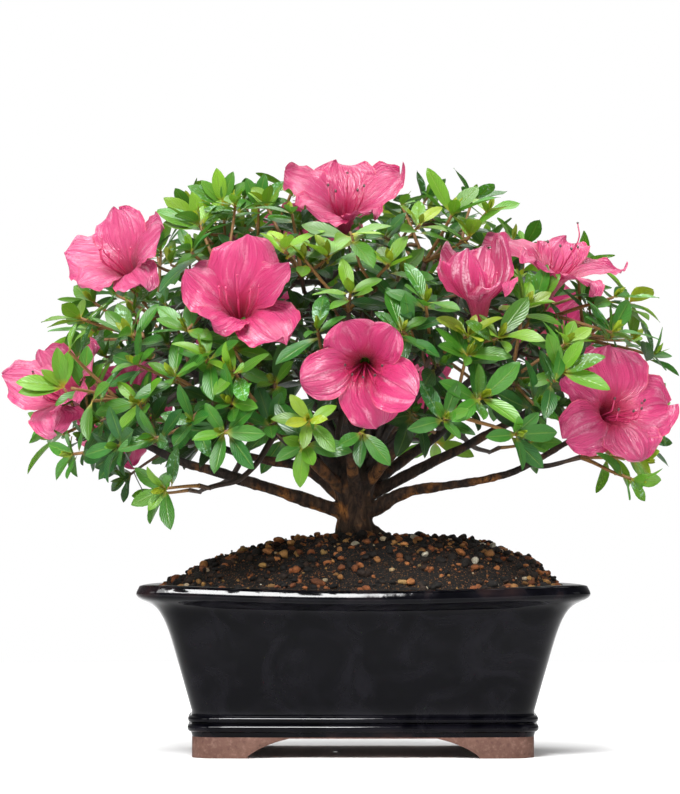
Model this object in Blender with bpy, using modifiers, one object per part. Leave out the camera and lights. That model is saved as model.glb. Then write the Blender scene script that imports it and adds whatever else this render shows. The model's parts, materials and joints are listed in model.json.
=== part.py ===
"""An azalea bonsai in flower, standing in a glazed rectangular stoneware pot.

Metres, +Z up. The origin is on the surface that the pot stands on, under the middle of the crown's
box, and the front of the tree looks along -Y. The pot, its two drain meshes, the soil, the wood, the
leafy sprays, the blooms and the buds are separate solids that keep a hair's gap to each other.
"""

import math
import random

import bmesh
import bpy
import numpy as np
from mathutils import Matrix, Vector

SEED = 11
GAP = 0.0003
UP = Vector((0, 0, 1))

# The pot, about its own centre.
POT_CENTRE = Vector((0.0127, 0.0005, 0.0))
RIM_HALF_LENGTH = 0.1015
RIM_HALF_DEPTH = 0.0750
RIM_HEIGHT = 0.0780
BODY_BOTTOM = 0.0095
FLOOR_TOP = 0.0175
OUTER_CORNER_RADIUS = 0.0100
INNER_CORNER_RADIUS = 0.0070
SIDE_BOW = 0.0030
RIM_SAG = 0.0026
# Height, then how far the wall stands inside the rim's outer line.
OUTER_PROFILE = (
    (BODY_BOTTOM, 0.0243), (0.0120, 0.0232), (0.0148, 0.0224), (0.0166, 0.0232), (0.0190, 0.0226),
    (0.0212, 0.0240), (0.0400, 0.0189), (0.0563, 0.0143), (0.0648, 0.0108), (0.0692, 0.0072),
    (0.0722, 0.0016), (0.0745, 0.0000), (RIM_HEIGHT, 0.0014),
)
INNER_PROFILE = (
    (RIM_HEIGHT, 0.0066), (0.0765, 0.0082), (0.0700, 0.0112), (0.0600, 0.0170), (FLOOR_TOP, 0.0300),
)
FOOT_INSET = 0.0243
FOOT_THICKNESS = 0.0120
ARCH_HEIGHT = 0.0090
LONG_ARCH_HALF = 0.0525
SHORT_ARCH_HALF = 0.0270
ARCH_SHOULDER = 0.0190
DRAIN_X = 0.0420
DRAIN_RADIUS = 0.0070

# The plastic mesh over each drain hole.
MESH_SIDE = 0.0260
MESH_THICKNESS = 0.0012
MESH_HOLE = 0.0080
MESH_PITCH = 0.0110

# The soil, mounded up to the trunk.
SOIL_EDGE_DROP = 0.0015
SOIL_SHOULDER = 0.0095
SOIL_MOUND = 0.0140
SOIL_TILT = 0.030
SOIL_LUMP = 0.0011
SOIL_RINGS = (0.14, 0.28, 0.44, 0.60, 0.74, 0.86, 0.95, 1.0)

# Places on the tree are given from the pot's centre. Trunk points are x, y, z and radius.
TRUNK = (
    (-0.003, 0.000, 0.068, 0.0108), (-0.003, 0.000, 0.094, 0.0104), (-0.0035, 0.000, 0.102, 0.0088),
    (-0.0035, 0.000, 0.110, 0.0080), (-0.004, 0.000, 0.117, 0.0090), (-0.004, 0.000, 0.129, 0.0086),
    (-0.003, 0.002, 0.145, 0.0056), (0.000, 0.004, 0.175, 0.0040), (0.002, 0.004, 0.200, 0.0028),
    (0.000, 0.002, 0.222, 0.0018),
)
LIMBS = {
    "low_left": ((-0.008, -0.002, 0.1115), (-0.043, -0.010, 0.1230), (-0.076, -0.016, 0.1325),
                 (-0.099, -0.020, 0.1415), (-0.119, -0.022, 0.1525)),
    "left": ((-0.008, 0.002, 0.1175), (-0.027, 0.004, 0.1325), (-0.048, 0.008, 0.1375),
             (-0.072, 0.014, 0.1445), (-0.108, 0.020, 0.1685)),
    "low_right": ((0.002, -0.002, 0.1115), (0.0205, -0.006, 0.1215), (0.039, -0.012, 0.1240),
                  (0.070, -0.018, 0.1305), (0.106, -0.022, 0.1505)),
    "right": ((0.002, 0.003, 0.1195), (0.030, 0.008, 0.1345), (0.055, 0.014, 0.1465),
              (0.080, 0.018, 0.1615), (0.102, 0.020, 0.1795)),
    "high_left": ((-0.006, -0.001, 0.1255), (-0.030, -0.006, 0.1555), (-0.060, -0.010, 0.1855),
                  (-0.082, -0.012, 0.2085)),
    "high_right": ((0.000, 0.001, 0.1315), (0.022, 0.004, 0.1635), (0.047, 0.008, 0.1935),
                   (0.064, 0.010, 0.2155)),
    "front": ((-0.003, -0.005, 0.1195), (-0.006, -0.030, 0.1415), (-0.011, -0.055, 0.1615),
              (-0.014, -0.076, 0.1815)),
    "front_right": ((0.001, -0.004, 0.1235), (0.022, -0.032, 0.1485), (0.046, -0.054, 0.1685),
                    (0.062, -0.066, 0.1835)),
    "front_left": ((-0.008, -0.003, 0.1215), (-0.032, -0.032, 0.1435), (-0.060, -0.052, 0.1615),
                   (-0.078, -0.062, 0.1755)),
    "back": ((-0.003, 0.005, 0.1195), (0.003, 0.032, 0.1415), (0.007, 0.058, 0.1635),
             (0.008, 0.076, 0.1795)),
    "back_left": ((-0.008, 0.004, 0.1235), (-0.034, 0.030, 0.1455), (-0.062, 0.050, 0.1635),
                  (-0.080, 0.060, 0.1775)),
    "back_right": ((0.002, 0.004, 0.1235), (0.030, 0.030, 0.1455), (0.056, 0.050, 0.1655),
                   (0.074, 0.060, 0.1795)),
    "crown_front": ((-0.003, 0.000, 0.1375), (-0.006, -0.016, 0.1715), (-0.016, -0.030, 0.2055),
                    (-0.020, -0.034, 0.2275)),
    "crown_back": ((-0.002, 0.004, 0.1375), (0.006, 0.020, 0.1715), (0.014, 0.034, 0.2035),
                   (0.016, 0.038, 0.2255)),
}
LIMB_ROOT_RADIUS = 0.0040
LIMB_TIP_RADIUS = 0.0016
LOW_LIMB_ROOT_RADIUS = 0.0046
SIDE_BRANCH_ROOT_RADIUS = 0.0015
SIDE_BRANCH_TIP_RADIUS = 0.0010
TWIG_END_SHARE = 0.4
# A side branch is this long at least, and a start that needs a sharp turn counts as farther away.
SHORTEST_TWIG = 0.012
TURN_COST = 0.9

# The crown is a leafy shell about an ellipsoid.
CROWN_CENTRE = Vector((-0.007, 0.0, 0.130))
CROWN_AXES = Vector((0.150, 0.122, 0.142))
CROWN_SQUARENESS = 2.4
# How low and how high a shoot may end at each x.
UNDERSIDE = (
    (-0.160, 0.150), (-0.142, 0.144), (-0.118, 0.136), (-0.098, 0.118), (-0.084, 0.116),
    (-0.070, 0.142), (-0.030, 0.146), (0.030, 0.150), (0.060, 0.144), (0.090, 0.138),
    (0.116, 0.122), (0.128, 0.122), (0.145, 0.150),
)
OVERSIDE = (
    (-0.153, 0.196), (-0.130, 0.212), (-0.105, 0.232), (-0.088, 0.252), (-0.075, 0.262),
    (-0.030, 0.262), (0.010, 0.255), (0.030, 0.258), (0.042, 0.264), (0.060, 0.260),
    (0.075, 0.246), (0.110, 0.238), (0.130, 0.224), (0.142, 0.205),
)
SIDE_LIMITS = (-0.150, 0.138)
# Past this depth, at the front and the back, the top of the crown falls away at this slope.
SLOPE_START = 0.05
DEPTH_SLOPE = 0.4
LEAF_REACH_X = (-0.158, 0.1395)
LEAF_REACH_Y = (-0.1200, 0.1215)
# Shoots that show at the front: x and z as seen from there, and the share of the crown's radius.
FRONT_SHOOTS = (
    (-0.128, 0.199, 0.97), (-0.130, 0.184, 1.00), (-0.103, 0.189, 0.95), (-0.114, 0.208, 0.90),
    (-0.078, 0.191, 0.93), (-0.077, 0.227, 0.97), (-0.074, 0.241, 0.95), (-0.070, 0.257, 0.92),
    (-0.058, 0.250, 0.97), (-0.044, 0.251, 0.92), (-0.032, 0.245, 0.95), (-0.037, 0.221, 0.93),
    (-0.025, 0.219, 0.92), (-0.006, 0.206, 0.97), (-0.016, 0.224, 0.90), (0.011, 0.220, 0.95),
    (0.027, 0.202, 0.97), (0.019, 0.186, 0.97), (-0.020, 0.189, 0.95), (0.046, 0.188, 0.93),
    (0.040, 0.245, 0.95), (0.048, 0.235, 0.92), (0.052, 0.259, 0.92), (0.059, 0.187, 0.95),
    (0.089, 0.185, 0.97), (0.115, 0.210, 0.97), (0.112, 0.192, 0.97), (0.102, 0.229, 0.92),
    (-0.130, 0.166, 1.02), (-0.120, 0.160, 1.00), (-0.130, 0.137, 0.95), (-0.108, 0.140, 0.97),
    (-0.087, 0.121, 0.93), (-0.100, 0.176, 0.93), (-0.099, 0.159, 0.92), (-0.069, 0.179, 0.98),
    (-0.083, 0.170, 0.93), (-0.061, 0.145, 0.97), (-0.075, 0.150, 0.93), (-0.057, 0.172, 0.98),
    (-0.058, 0.158, 0.95), (-0.026, 0.140, 0.95), (-0.024, 0.150, 1.00), (-0.001, 0.145, 0.95),
    (0.035, 0.151, 0.97), (0.045, 0.179, 0.95), (0.051, 0.160, 0.95), (0.066, 0.144, 1.00),
    (0.084, 0.168, 1.00), (0.120, 0.126, 0.97), (0.075, 0.158, 0.92),
)
# The rest of the crown: an even spread of directions, thinned where shoots stand already.
SPREAD_COUNT = 140
SPREAD_LOWEST = -0.10
SPREAD_SHARE = 0.95
SHOOT_SPACING = 0.0260
BUNDLE_REACH = 0.046
SHOOTS_PER_SPRAY = 4
MOST_SPRAYS = 40
FORK_DEPTHS = (0.022, 0.018, 0.026, 0.014, 0.030)
FORK_STRAY = 0.006
FORK_TRIES = 40
TIP_STRAY = 0.0012
TIP_TRIES = 12
STEM_LENGTH = 0.007
# The clear space that each piece needs round its middle line.
TWIG_CLEARANCE = 0.0030
STEM_CLEARANCE = 0.0030
SHOOT_CLEARANCE = 0.0024
WHORL_CLEARANCE = 0.0060
LEAF_CLEARANCE = 0.0038
LEAF_BEAD = 0.0026
PETAL_BEAD = 0.0050
BUD_BEAD = 0.0055
SHOOT_RADIUS = 0.0010
FORK_RADIUS = 0.0017
SHOOT_SIDES = 4

LEAF_LENGTH = (0.0155, 0.0205)
LEAF_HALF_WIDTH = 0.175
LEAF_THICKNESS = 0.0007
LEAF_TILT = (math.radians(44), math.radians(74))
LEAF_BEND = (-0.22, 0.06)
LEAF_SECTIONS = ((0.42, 1.0), (0.76, 0.74))
# Turns of a leaf's tilt and shares of its size, tried in order until the leaf is clear.
LEAF_TRIES = (
    (0, 1), (-0.25, 1), (0.25, 1), (-0.45, 0.95), (0.45, 0.9), (-0.2, 0.7), (0.2, 0.7),
)
LEAF_BEAD_PLACES = (0.42, 0.58, 0.74, 0.92)
WHORL_DEPTH = 0.0012
WHORL_LEAVES = 3

# Name, mouth centre from the pot's centre, the way it faces, across, turn, lobe spread in degrees.
BLOOMS = (
    ("bloom_top_centre", (-0.008, -0.042, 0.253), (0.04, -0.69, 0.72), 0.056, 23, 70),
    ("bloom_front_centre", (-0.000, -0.108, 0.174), (-0.03, -0.99, -0.16), 0.055, 67, 75),
    ("bloom_front_left", (-0.055, -0.090, 0.204), (-0.02, -0.81, 0.59), 0.060, 81, 72),
    ("bloom_upper_left", (-0.111, -0.036, 0.227), (-0.40, -0.70, 0.59), 0.054, 4, 81),
    ("bloom_low_left", (-0.137, -0.046, 0.167), (-0.57, -0.65, 0.50), 0.058, 351, 70),
    ("bloom_upper_right", (0.089, -0.040, 0.225), (0.32, -0.35, 0.88), 0.064, 61, 85),
    ("bloom_right", (0.115, -0.060, 0.158), (0.45, -0.87, 0.21), 0.057, 37, 95),
    ("bloom_opening", (0.051, -0.086, 0.209), (-0.06, -0.45, 0.89), 0.058, 15, 30),
    ("bloom_back_left", (-0.060, 0.086, 0.214), (-0.40, 0.70, 0.58), 0.055, 10, 88),
    ("bloom_back_centre", (0.022, 0.108, 0.176), (0.10, 0.96, 0.20), 0.056, 50, 95),
    ("bloom_back_right", (0.090, 0.072, 0.204), (0.52, 0.66, 0.52), 0.054, 30, 82),
    ("bloom_back_low_left", (-0.114, 0.060, 0.162), (-0.68, 0.70, 0.20), 0.054, 70, 92),
    ("bloom_top_back", (-0.022, 0.050, 0.249), (-0.10, 0.40, 0.91), 0.054, 45, 80),
)
# The lobes of each flower that don't stand in an even star: turn in degrees, shares of the length
# and the width, further spread in degrees, roundness of the tip, and how far the tip rolls back.
EVEN_LOBE = (0, 1.0, 1.0, 0, 2.4, 0)
LOBE_FORMS = {
    "bloom_top_centre": (
        (0, 1.13, 1.00, 13, 1.5, 0), (-12, 0.87, 1.35, -3, 2.4, 0), (-14, 1.08, 1.10, -1, 2.0, 0),
        (2, 0.90, 0.80, -21, 2.4, 0), (8, 0.99, 1.10, -3, 2.4, 0),
    ),
    "bloom_front_centre": (
        (1, 0.89, 1.05, -3, 2.4, 0), (-14, 0.95, 0.80, -27, 2.4, 0), (-4, 1.20, 1.00, -29, 2.4, 0),
        (-25, 0.96, 1.00, 18, 2.4, 0), (-6, 1.07, 0.92, -9, 2.4, 0),
    ),
    "bloom_front_left": (
        (16, 1.03, 1.20, -12, 2.4, 0), (9, 0.97, 0.95, -9, 1.3, 0), (4, 1.05, 1.20, 11, 2.4, 0),
        (-2, 0.99, 0.90, -1, 2.4, 0), (14, 0.90, 1.15, -12, 2.4, 0),
    ),
    "bloom_upper_left": (
        (-8, 0.98, 1.15, 2, 2.4, 0), (1, 0.97, 1.10, -12, 2.4, 0), (8, 1.06, 1.20, -9, 2.4, 0),
        (2, 0.90, 0.90, 6, 2.4, 0), (7, 0.91, 0.80, 0, 2.0, 0),
    ),
    "bloom_low_left": (
        (8, 1.07, 1.00, -6, 1.8, 0), (-13, 0.79, 1.00, -22, 2.4, 0), (14, 1.11, 0.80, 10, 2.4, 0),
        (3, 1.02, 0.90, 7, 2.4, 0), (-30, 0.79, 1.15, 8, 2.4, 0),
    ),
    "bloom_upper_right": (
        (-6, 1.08, 1.05, 14, 2.4, 0), (5, 0.82, 0.80, -20, 2.4, 0), (-13, 1.11, 0.80, 3, 1.6, 0),
        (3, 0.82, 0.95, 18, 2.4, 0), (-12, 0.85, 0.80, 8, 2.4, 0),
    ),
    "bloom_right": (
        (1, 0.86, 0.90, 19, 2.4, 0), (-18, 0.97, 1.20, 11, 2.4, 0), (-7, 0.97, 1.15, -6, 2.4, 0),
        (3, 0.87, 1.20, -6, 2.4, 0), (8, 1.07, 1.00, 1, 2.4, 0),
    ),
    "bloom_opening": (
        (0, 1.00, 1.60, 0, 2.4, 0), (10, 0.95, 1.50, 4, 2.4, 20), (-8, 1.05, 1.60, -4, 2.4, -25),
        (6, 0.90, 1.50, 6, 2.4, 30), (-5, 1.00, 1.60, 0, 2.4, -20),
    ),
}
BUDS = (
    ("bud_left", (-0.0590, -0.047, 0.232), (-0.20, -0.40, 0.88), 0.015),
    ("bud_right", (0.052, 0.074, 0.236), (0.25, 0.35, 0.90), 0.019),
)
LOBES = 5
LOBE_ANGLE = math.radians(36)
COROLLA_LENGTH = 0.78
TUBE_ANGLE = math.radians(9)
NOTCH_AT = 0.44
LOBE_HALF_WIDTH = 0.235
COROLLA_THICKNESS = 0.0008
# Along and side of the points of a lobe that stand for it when leaves are placed.
LOBE_SPOTS = (
    (0.5, 0), (0.66, -0.6), (0.66, 0.6), (0.66, 0), (0.82, -0.62), (0.82, 0.62), (0.82, 0), (0.97, 0),
)
MOUTH_DEPTH = 0.40
TUBE_FOOT = 0.032
LOBE_UNEVEN = 12
CURL_BELOW = 45
CURL_RATE = 3.4
PLEAT = 0.020
RUFFLE = 0.050
LAP = 0.030
PEDICEL_LENGTH = 0.010
PEDICEL_RADIUS = 0.0011
# Shares of the corolla's length.
STYLE_REACH = 0.82
STYLE_DROOP = 0.10
STAMEN_REACH = 0.62
STAMEN_SPREAD = 0.16
STYLE_RADIUS = 0.0006
STAMENS = 2
# Half a bud's width and how much it narrows to its tip, as shares of its length.
BUD_HALF_WIDTH = 0.26
BUD_TAPER = 0.45

COLOURS = {
    "glaze": ((0.012, 0.012, 0.016), 0.08),
    "mesh": ((0.02, 0.02, 0.02), 0.6),
    "soil": ((0.045, 0.030, 0.020), 0.95),
    "bark": ((0.075, 0.045, 0.028), 0.85),
    "leaf": ((0.075, 0.230, 0.035), 0.40),
    "petal": ((0.800, 0.085, 0.240), 0.45),
}


def material(name):
    """The Principled material of one colour, made once."""
    found = bpy.data.materials.get(name)
    if found:
        return found
    made = bpy.data.materials.new(name)
    made.use_nodes = True
    shader = made.node_tree.nodes["Principled BSDF"]
    colour, roughness = COLOURS[name]
    shader.inputs["Base Color"].default_value = (*colour, 1.0)
    shader.inputs["Roughness"].default_value = roughness
    shader.inputs["Metallic"].default_value = 0.0
    return made


def add_object(name, mesh, collection, colour=None):
    """Links a mesh as an object, with its material."""
    made = bpy.data.objects.new(name, mesh)
    collection.objects.link(made)
    if colour:
        mesh.materials.clear()
        mesh.materials.append(material(colour))
    return made


def mesh_of(work, name):
    """Turns a bmesh into a mesh with its normals outward."""
    bmesh.ops.recalc_face_normals(work, faces=work.faces)
    mesh = bpy.data.meshes.new(name)
    work.to_mesh(mesh)
    work.free()
    return mesh


def settle(made):
    """Applies an object's modifiers."""
    bpy.context.view_layer.update()
    graph = bpy.context.evaluated_depsgraph_get()
    mesh = bpy.data.meshes.new_from_object(made.evaluated_get(graph))
    made.modifiers.clear()
    made.data = mesh
    return made


def fuse(made, others, work, solver="MANIFOLD"):
    """Joins the others into one body with this object, in one Boolean union, and removes them."""
    if not others:
        return made
    joined = bpy.data.collections.new("joined")
    bpy.context.scene.collection.children.link(joined)
    for other in others:
        work.objects.unlink(other)
        joined.objects.link(other)
    union = made.modifiers.new("union", "BOOLEAN")
    union.operation = "UNION"
    union.operand_type = "COLLECTION"
    union.collection = joined
    union.solver = solver
    settle(made)
    for other in others:
        bpy.data.objects.remove(other)
    bpy.data.collections.remove(joined)
    return made


def cut(made, cutter):
    """Cuts one mesh object out of another and removes the cutter."""
    cutter.hide_render = True
    cutter.display_type = "WIRE"
    difference = made.modifiers.new("cut", "BOOLEAN")
    difference.operation = "DIFFERENCE"
    difference.object = cutter
    difference.solver = "EXACT"
    settle(made)
    bpy.data.objects.remove(cutter)
    return made


def curve_solid(name, curve, collection, place=Matrix.Identity(4)):
    """Turns a bevelled or extruded curve into a closed mesh object, its caps welded."""
    guide = bpy.data.objects.new(name + "_guide", curve)
    collection.objects.link(guide)
    guide.matrix_world = place
    bpy.context.view_layer.update()
    graph = bpy.context.evaluated_depsgraph_get()
    mesh = bpy.data.meshes.new_from_object(guide.evaluated_get(graph))
    bpy.data.objects.remove(guide)
    work = bmesh.new()
    work.from_mesh(mesh)
    bmesh.ops.remove_doubles(work, verts=work.verts, dist=0.00001)
    made = add_object(name, mesh_of(work, name), collection)
    made.matrix_world = place
    return made


def tube(name, points, collection, sides_step=0):
    """A tapered branch through points of x, y, z and radius, with 4 sides plus 2 for each step."""
    curve = bpy.data.curves.new(name, "CURVE")
    curve.dimensions = "3D"
    curve.bevel_depth = 1.0
    curve.bevel_resolution = sides_step
    curve.use_fill_caps = True
    spline = curve.splines.new("POLY")
    spline.points.add(len(points) - 1)
    for point, (x, y, z, radius) in zip(spline.points, points):
        point.co = (x, y, z, 1)
        point.radius = radius
    return curve_solid(name, curve, collection)


def outline_prism(name, outline, half_thickness, collection, place):
    """A flat outline, thickened both ways, at a place."""
    curve = bpy.data.curves.new(name, "CURVE")
    curve.dimensions = "2D"
    curve.fill_mode = "BOTH"
    curve.extrude = half_thickness
    spline = curve.splines.new("POLY")
    spline.points.add(len(outline) - 1)
    spline.use_cyclic_u = True
    for point, (x, y) in zip(spline.points, outline):
        point.co = (x, y, 0, 1)
    return curve_solid(name, curve, collection, place)


def box(name, low, high, collection):
    """An axis-aligned box between two corners."""
    work = bmesh.new()
    bmesh.ops.create_cube(work, size=1.0)
    size = Vector(high) - Vector(low)
    middle = (Vector(high) + Vector(low)) / 2
    bmesh.ops.scale(work, vec=size, verts=work.verts)
    bmesh.ops.translate(work, vec=middle, verts=work.verts)
    return add_object(name, mesh_of(work, name), collection)


# The layout of the tree. Everything in it is worked out from the values above and one seed.


def square_axes(axis):
    """Two unit axes square to this one: the first level, the second as high as it can be."""
    level = axis.cross(UP)
    if level.length < 0.05:
        level = Vector((1, 0, 0))
    level.normalize()
    return level, level.cross(axis).normalized()


def smooth_path(points, steps):
    """Catmull-Rom points through these, with this many steps between each two."""
    rows = [np.array(p, float) for p in points]
    rows = [2 * rows[0] - rows[1], *rows, 2 * rows[-1] - rows[-2]]
    found = []
    for a, b, c, d in zip(rows, rows[1:], rows[2:], rows[3:]):
        for step in range(steps):
            t = step / steps
            square, cube = 2 * a - 5 * b + 4 * c - d, 3 * b - a - 3 * c + d
            found.append(0.5 * (2 * b + (c - a) * t + square * t**2 + cube * t**3))
    return [*found, rows[-2]]


def limb_points(name):
    """A limb's points with radii that fall from root to tip, in the object's frame."""
    points = LIMBS[name]
    root = LOW_LIMB_ROOT_RADIUS if name.startswith("low") else LIMB_ROOT_RADIUS
    last = len(points) - 1
    return [
        (*(Vector(p) + POT_CENTRE), root + (LIMB_TIP_RADIUS - root) * (n / last) ** 0.75)
        for n, p in enumerate(points)
    ]


class Beads:
    """Spheres that stand for what is already in place, each with the name of what it belongs to."""

    def __init__(self):
        self.rows, self.names = [], []

    def add(self, points, radius, name):
        self.rows += [(*p, radius) for p in points]
        self.names += [name] * len(points)

    def clear(self, points, radius, ignore):
        """True if spheres here would touch nothing but what has an ignored name's start."""
        kept = [row for row, name in zip(self.rows, self.names) if not name.startswith(ignore)]
        rows = np.array(kept)
        for point in points:
            away = np.linalg.norm(rows[:, :3] - np.array(point), axis=1) - rows[:, 3]
            if len(away) and away.min() < radius:
                return False
        return True


def lobe_path(across, spread, lobe, roll=0.0, steps=24):
    """Radius and height from the flower's base to a lobe's tip, as a curve that turns outward.

    The lobes of a flower that is still half open turn in again towards their tips.
    """
    turn = math.radians(spread + LOBE_UNEVEN * math.sin(2.3 * lobe + spread))
    curl = math.radians(max(0.0, CURL_BELOW - spread) * CURL_RATE)
    length = COROLLA_LENGTH * across
    radius, height, rows = TUBE_FOOT * across, 0.0, [(TUBE_FOOT * across, 0.0)]
    for step in range(steps):
        t = (step + 0.5) / steps
        ease = min(1.0, max(0.0, (t - 0.15) / 0.75))
        late = max(0.0, (t - 0.5) / 0.5)
        opening = (turn + 0.4 * curl - TUBE_ANGLE) * ease * ease * (3 - 2 * ease)
        angle = TUBE_ANGLE + opening - (curl - math.radians(roll)) * late
        radius += math.sin(angle) * length / steps
        height += math.cos(angle) * length / steps
        rows.append((radius, height))
    return np.array(rows)


def lobe_half_width(wide, notch_radius, roundness, u):
    """Half a lobe's width at u, from 0 at the notch to 1 at the tip."""
    narrow = notch_radius * math.sin(LOBE_ANGLE)
    if u < 0.5:
        return narrow + (wide - narrow) * math.sin(u * math.pi)
    return wide * math.sqrt(max(0.0, 1 - ((u - 0.5) / 0.5) ** roundness))


def lobe_relief(lobe, u, side):
    """How far a lobe's surface stands up at a point, as a share of the flower's width."""
    arch = math.sin(math.pi * u)
    pleats = -math.exp(-((side / 0.16) ** 2)) - 0.45 * math.cos(3 * math.pi * side)
    ruffle = u**1.5 * side**2 * math.sin(8.2 * u + 2.5 * lobe + (2.0 if side < 0 else 0.0))
    tip = u**4 * math.cos(3 * side + 1.7 * lobe)
    return PLEAT * arch * pleats + RUFFLE * (ruffle + 0.7 * tip) + LAP * side * u


def corolla_point(bloom, lobe, along, side):
    """A point of a bloom's petal: along from 0 at the base to 1 at the tip, side from -1 to 1."""
    name, mouth, faces, across, turn, spread = bloom
    forms = LOBE_FORMS.get(name, (EVEN_LOBE,) * LOBES)
    lobe_turn, longer, wider, further, roundness, roll = forms[lobe]
    axis = Vector(faces).normalized()
    level, high = square_axes(axis)
    u = max(0.0, (along - NOTCH_AT) / (1 - NOTCH_AT))
    # All lobes share one tube up to the notch between them, and then each follows its own path.
    shared = lobe_path(across, spread, 0.0)
    at = np.linspace(0.0, 1.0, len(shared))
    notch_radius, notch_height = (float(np.interp(NOTCH_AT, at, shared[:, n])) for n in (0, 1))
    if along <= NOTCH_AT:
        radius, height = (float(np.interp(along, at, shared[:, n])) for n in (0, 1))
        out = radius * math.cos(LOBE_ANGLE * side)
        aside = radius * math.sin(LOBE_ANGLE * side)
    else:
        own = lobe_path(across, spread + further, lobe + 1.0, roll)
        gained = [longer * (np.interp(along, at, line) - np.interp(NOTCH_AT, at, line)) for line in own.T]
        wide = wider * LOBE_HALF_WIDTH * across * min(1.0, 0.35 + 0.65 * spread / 80)
        out = notch_radius + float(gained[0]) - (1 - math.cos(LOBE_ANGLE * side)) * notch_radius * (1 - u)
        aside = side * lobe_half_width(wide, notch_radius, roundness, u)
        height = notch_height + float(gained[1]) + across * lobe_relief(lobe, u, side)
    angle = math.radians(turn + lobe_turn * min(1.0, 1.6 * u)) + lobe * 2 * math.pi / LOBES
    radial = level * math.cos(angle) + high * math.sin(angle)
    around = high * math.cos(angle) - level * math.sin(angle)
    base = POT_CENTRE + Vector(mouth) - axis * MOUTH_DEPTH * across
    return base + radial * out + around * aside + axis * height


def bloom_base(bloom):
    """Where a bloom's tube starts, and the way that it faces."""
    _, mouth, faces, across, _, _ = bloom
    axis = Vector(faces).normalized()
    return POT_CENTRE + Vector(mouth) - axis * MOUTH_DEPTH * across, axis


def bloom_root(bloom):
    """The foot of a bloom's stalk, and the way the stalk runs there."""
    base, axis = bloom_base(bloom)
    return base - axis * PEDICEL_LENGTH, axis


def bud_root(bud):
    _, place, faces, length = bud
    axis = Vector(faces).normalized()
    return POT_CENTRE + Vector(place) - axis * (PEDICEL_LENGTH + length / 2), axis


def crown_point(way, share):
    """A point of the crown along a direction, at a share of its uneven ellipsoid's radius."""
    around = math.atan2(way.y, way.x)
    uneven = 1 + 0.035 * math.sin(3 * around + 1.1) + 0.03 * math.sin(5 * around + 4 * way.z)
    square = sum(abs(part) ** CROWN_SQUARENESS for part in way) ** (1 / CROWN_SQUARENESS)
    reach = Vector(a * b for a, b in zip(way, CROWN_AXES)) / square
    return POT_CENTRE + CROWN_CENTRE + reach * share * uneven


def front_place(x, z, share):
    """The place on the crown's front that is seen at x and z."""
    across = abs((x - CROWN_CENTRE.x) / CROWN_AXES.x) ** CROWN_SQUARENESS
    upward = abs((z - CROWN_CENTRE.z) / CROWN_AXES.z) ** CROWN_SQUARENESS
    left = max(0.0, share**CROWN_SQUARENESS - across - upward)
    return POT_CENTRE + Vector((x, -CROWN_AXES.y * left ** (1 / CROWN_SQUARENESS), z))


def in_crown(place):
    """True where a shoot may end: the crown hangs at its ends and is clear above the trunk."""
    low = np.interp(place.x, *zip(*UNDERSIDE))
    high = np.interp(place.x, *zip(*OVERSIDE)) - DEPTH_SLOPE * max(0.0, abs(place.y) - SLOPE_START)
    return bool(low < place.z < high) and SIDE_LIMITS[0] < place.x < SIDE_LIMITS[1]


def within_reach(point):
    """True if a leaf's tip stays inside the crown's outermost reach."""
    place = point - POT_CENTRE
    return LEAF_REACH_X[0] < place.x < LEAF_REACH_X[1] and LEAF_REACH_Y[0] < place.y < LEAF_REACH_Y[1]


def shoot_ends():
    """Where shoots end, each with its row in FRONT_SHOOTS if it has one."""
    found = [(front_place(*row), n) for n, row in enumerate(FRONT_SHOOTS)]
    for n in range(SPREAD_COUNT):
        sine = SPREAD_LOWEST + (1 - SPREAD_LOWEST) * (n + 0.5) / SPREAD_COUNT
        around = n * math.pi * (3 - math.sqrt(5)) + 0.4
        cosine = math.sqrt(1 - sine * sine)
        way = Vector((cosine * math.cos(around), cosine * math.sin(around), sine))
        place = crown_point(way, SPREAD_SHARE)
        spacing = min((place - other).length for other, _ in found)
        if in_crown(place - POT_CENTRE) and spacing > SHOOT_SPACING:
            found.append((place, None))
    return found


def bundles(ends):
    """Neighbouring shoots, as many as a spray has at most, that grow from one fork."""
    left, found = list(ends), []
    while left:
        # The shoot that is farthest from the crown's middle has the fewest neighbours, so it goes first.
        first = max(left, key=lambda end: (end[0] - POT_CENTRE - CROWN_CENTRE).length)
        near = [end for end in left if (end[0] - first[0]).length < BUNDLE_REACH]
        near.sort(key=lambda end: (end[0] - first[0]).length)
        found.append(near[:SHOOTS_PER_SPRAY])
        left = [end for end in left if end not in found[-1]]
    return found


def side_branch(start_rows, target, arrive):
    """A twig from the best place on the limbs to a target, as points with radii.

    The best place is near, and the limb there already runs towards the target. The twig's end runs
    the way that its spray or flower goes on, so that their flat ends face each other.
    """
    best = None
    for point, tangent in start_rows:
        reach = target - point
        if reach.length < SHORTEST_TWIG:
            continue
        cost = reach.length * (1 + TURN_COST * (1 - reach.normalized().dot(tangent)))
        if best is None or cost < best[0]:
            best = (cost, point, tangent)
    _, point, _ = best
    bend = target - arrive * (target - point).length * TWIG_END_SHARE
    middle_radius = (SIDE_BRANCH_ROOT_RADIUS + SIDE_BRANCH_TIP_RADIUS) / 2
    return [(*point, SIDE_BRANCH_ROOT_RADIUS), (*bend, middle_radius), (*target, SIDE_BRANCH_TIP_RADIUS)]


def limb_rows():
    """Places along the limbs and the upper trunk where a twig may start, with the way they run."""
    paths = [limb_points(name) for name in LIMBS]
    paths.append([(*(Vector(p[:3]) + POT_CENTRE), p[3]) for p in TRUNK[5:]])
    found = []
    for path in paths:
        points = [Vector(p[:3]) for p in smooth_path(path, 4)]
        for before, here, after in zip(points[1:], points[2:], points[3:]):
            found.append((here, (after - before).normalized()))
        found.append((points[-1], (points[-1] - points[-2]).normalized()))
    return found


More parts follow.
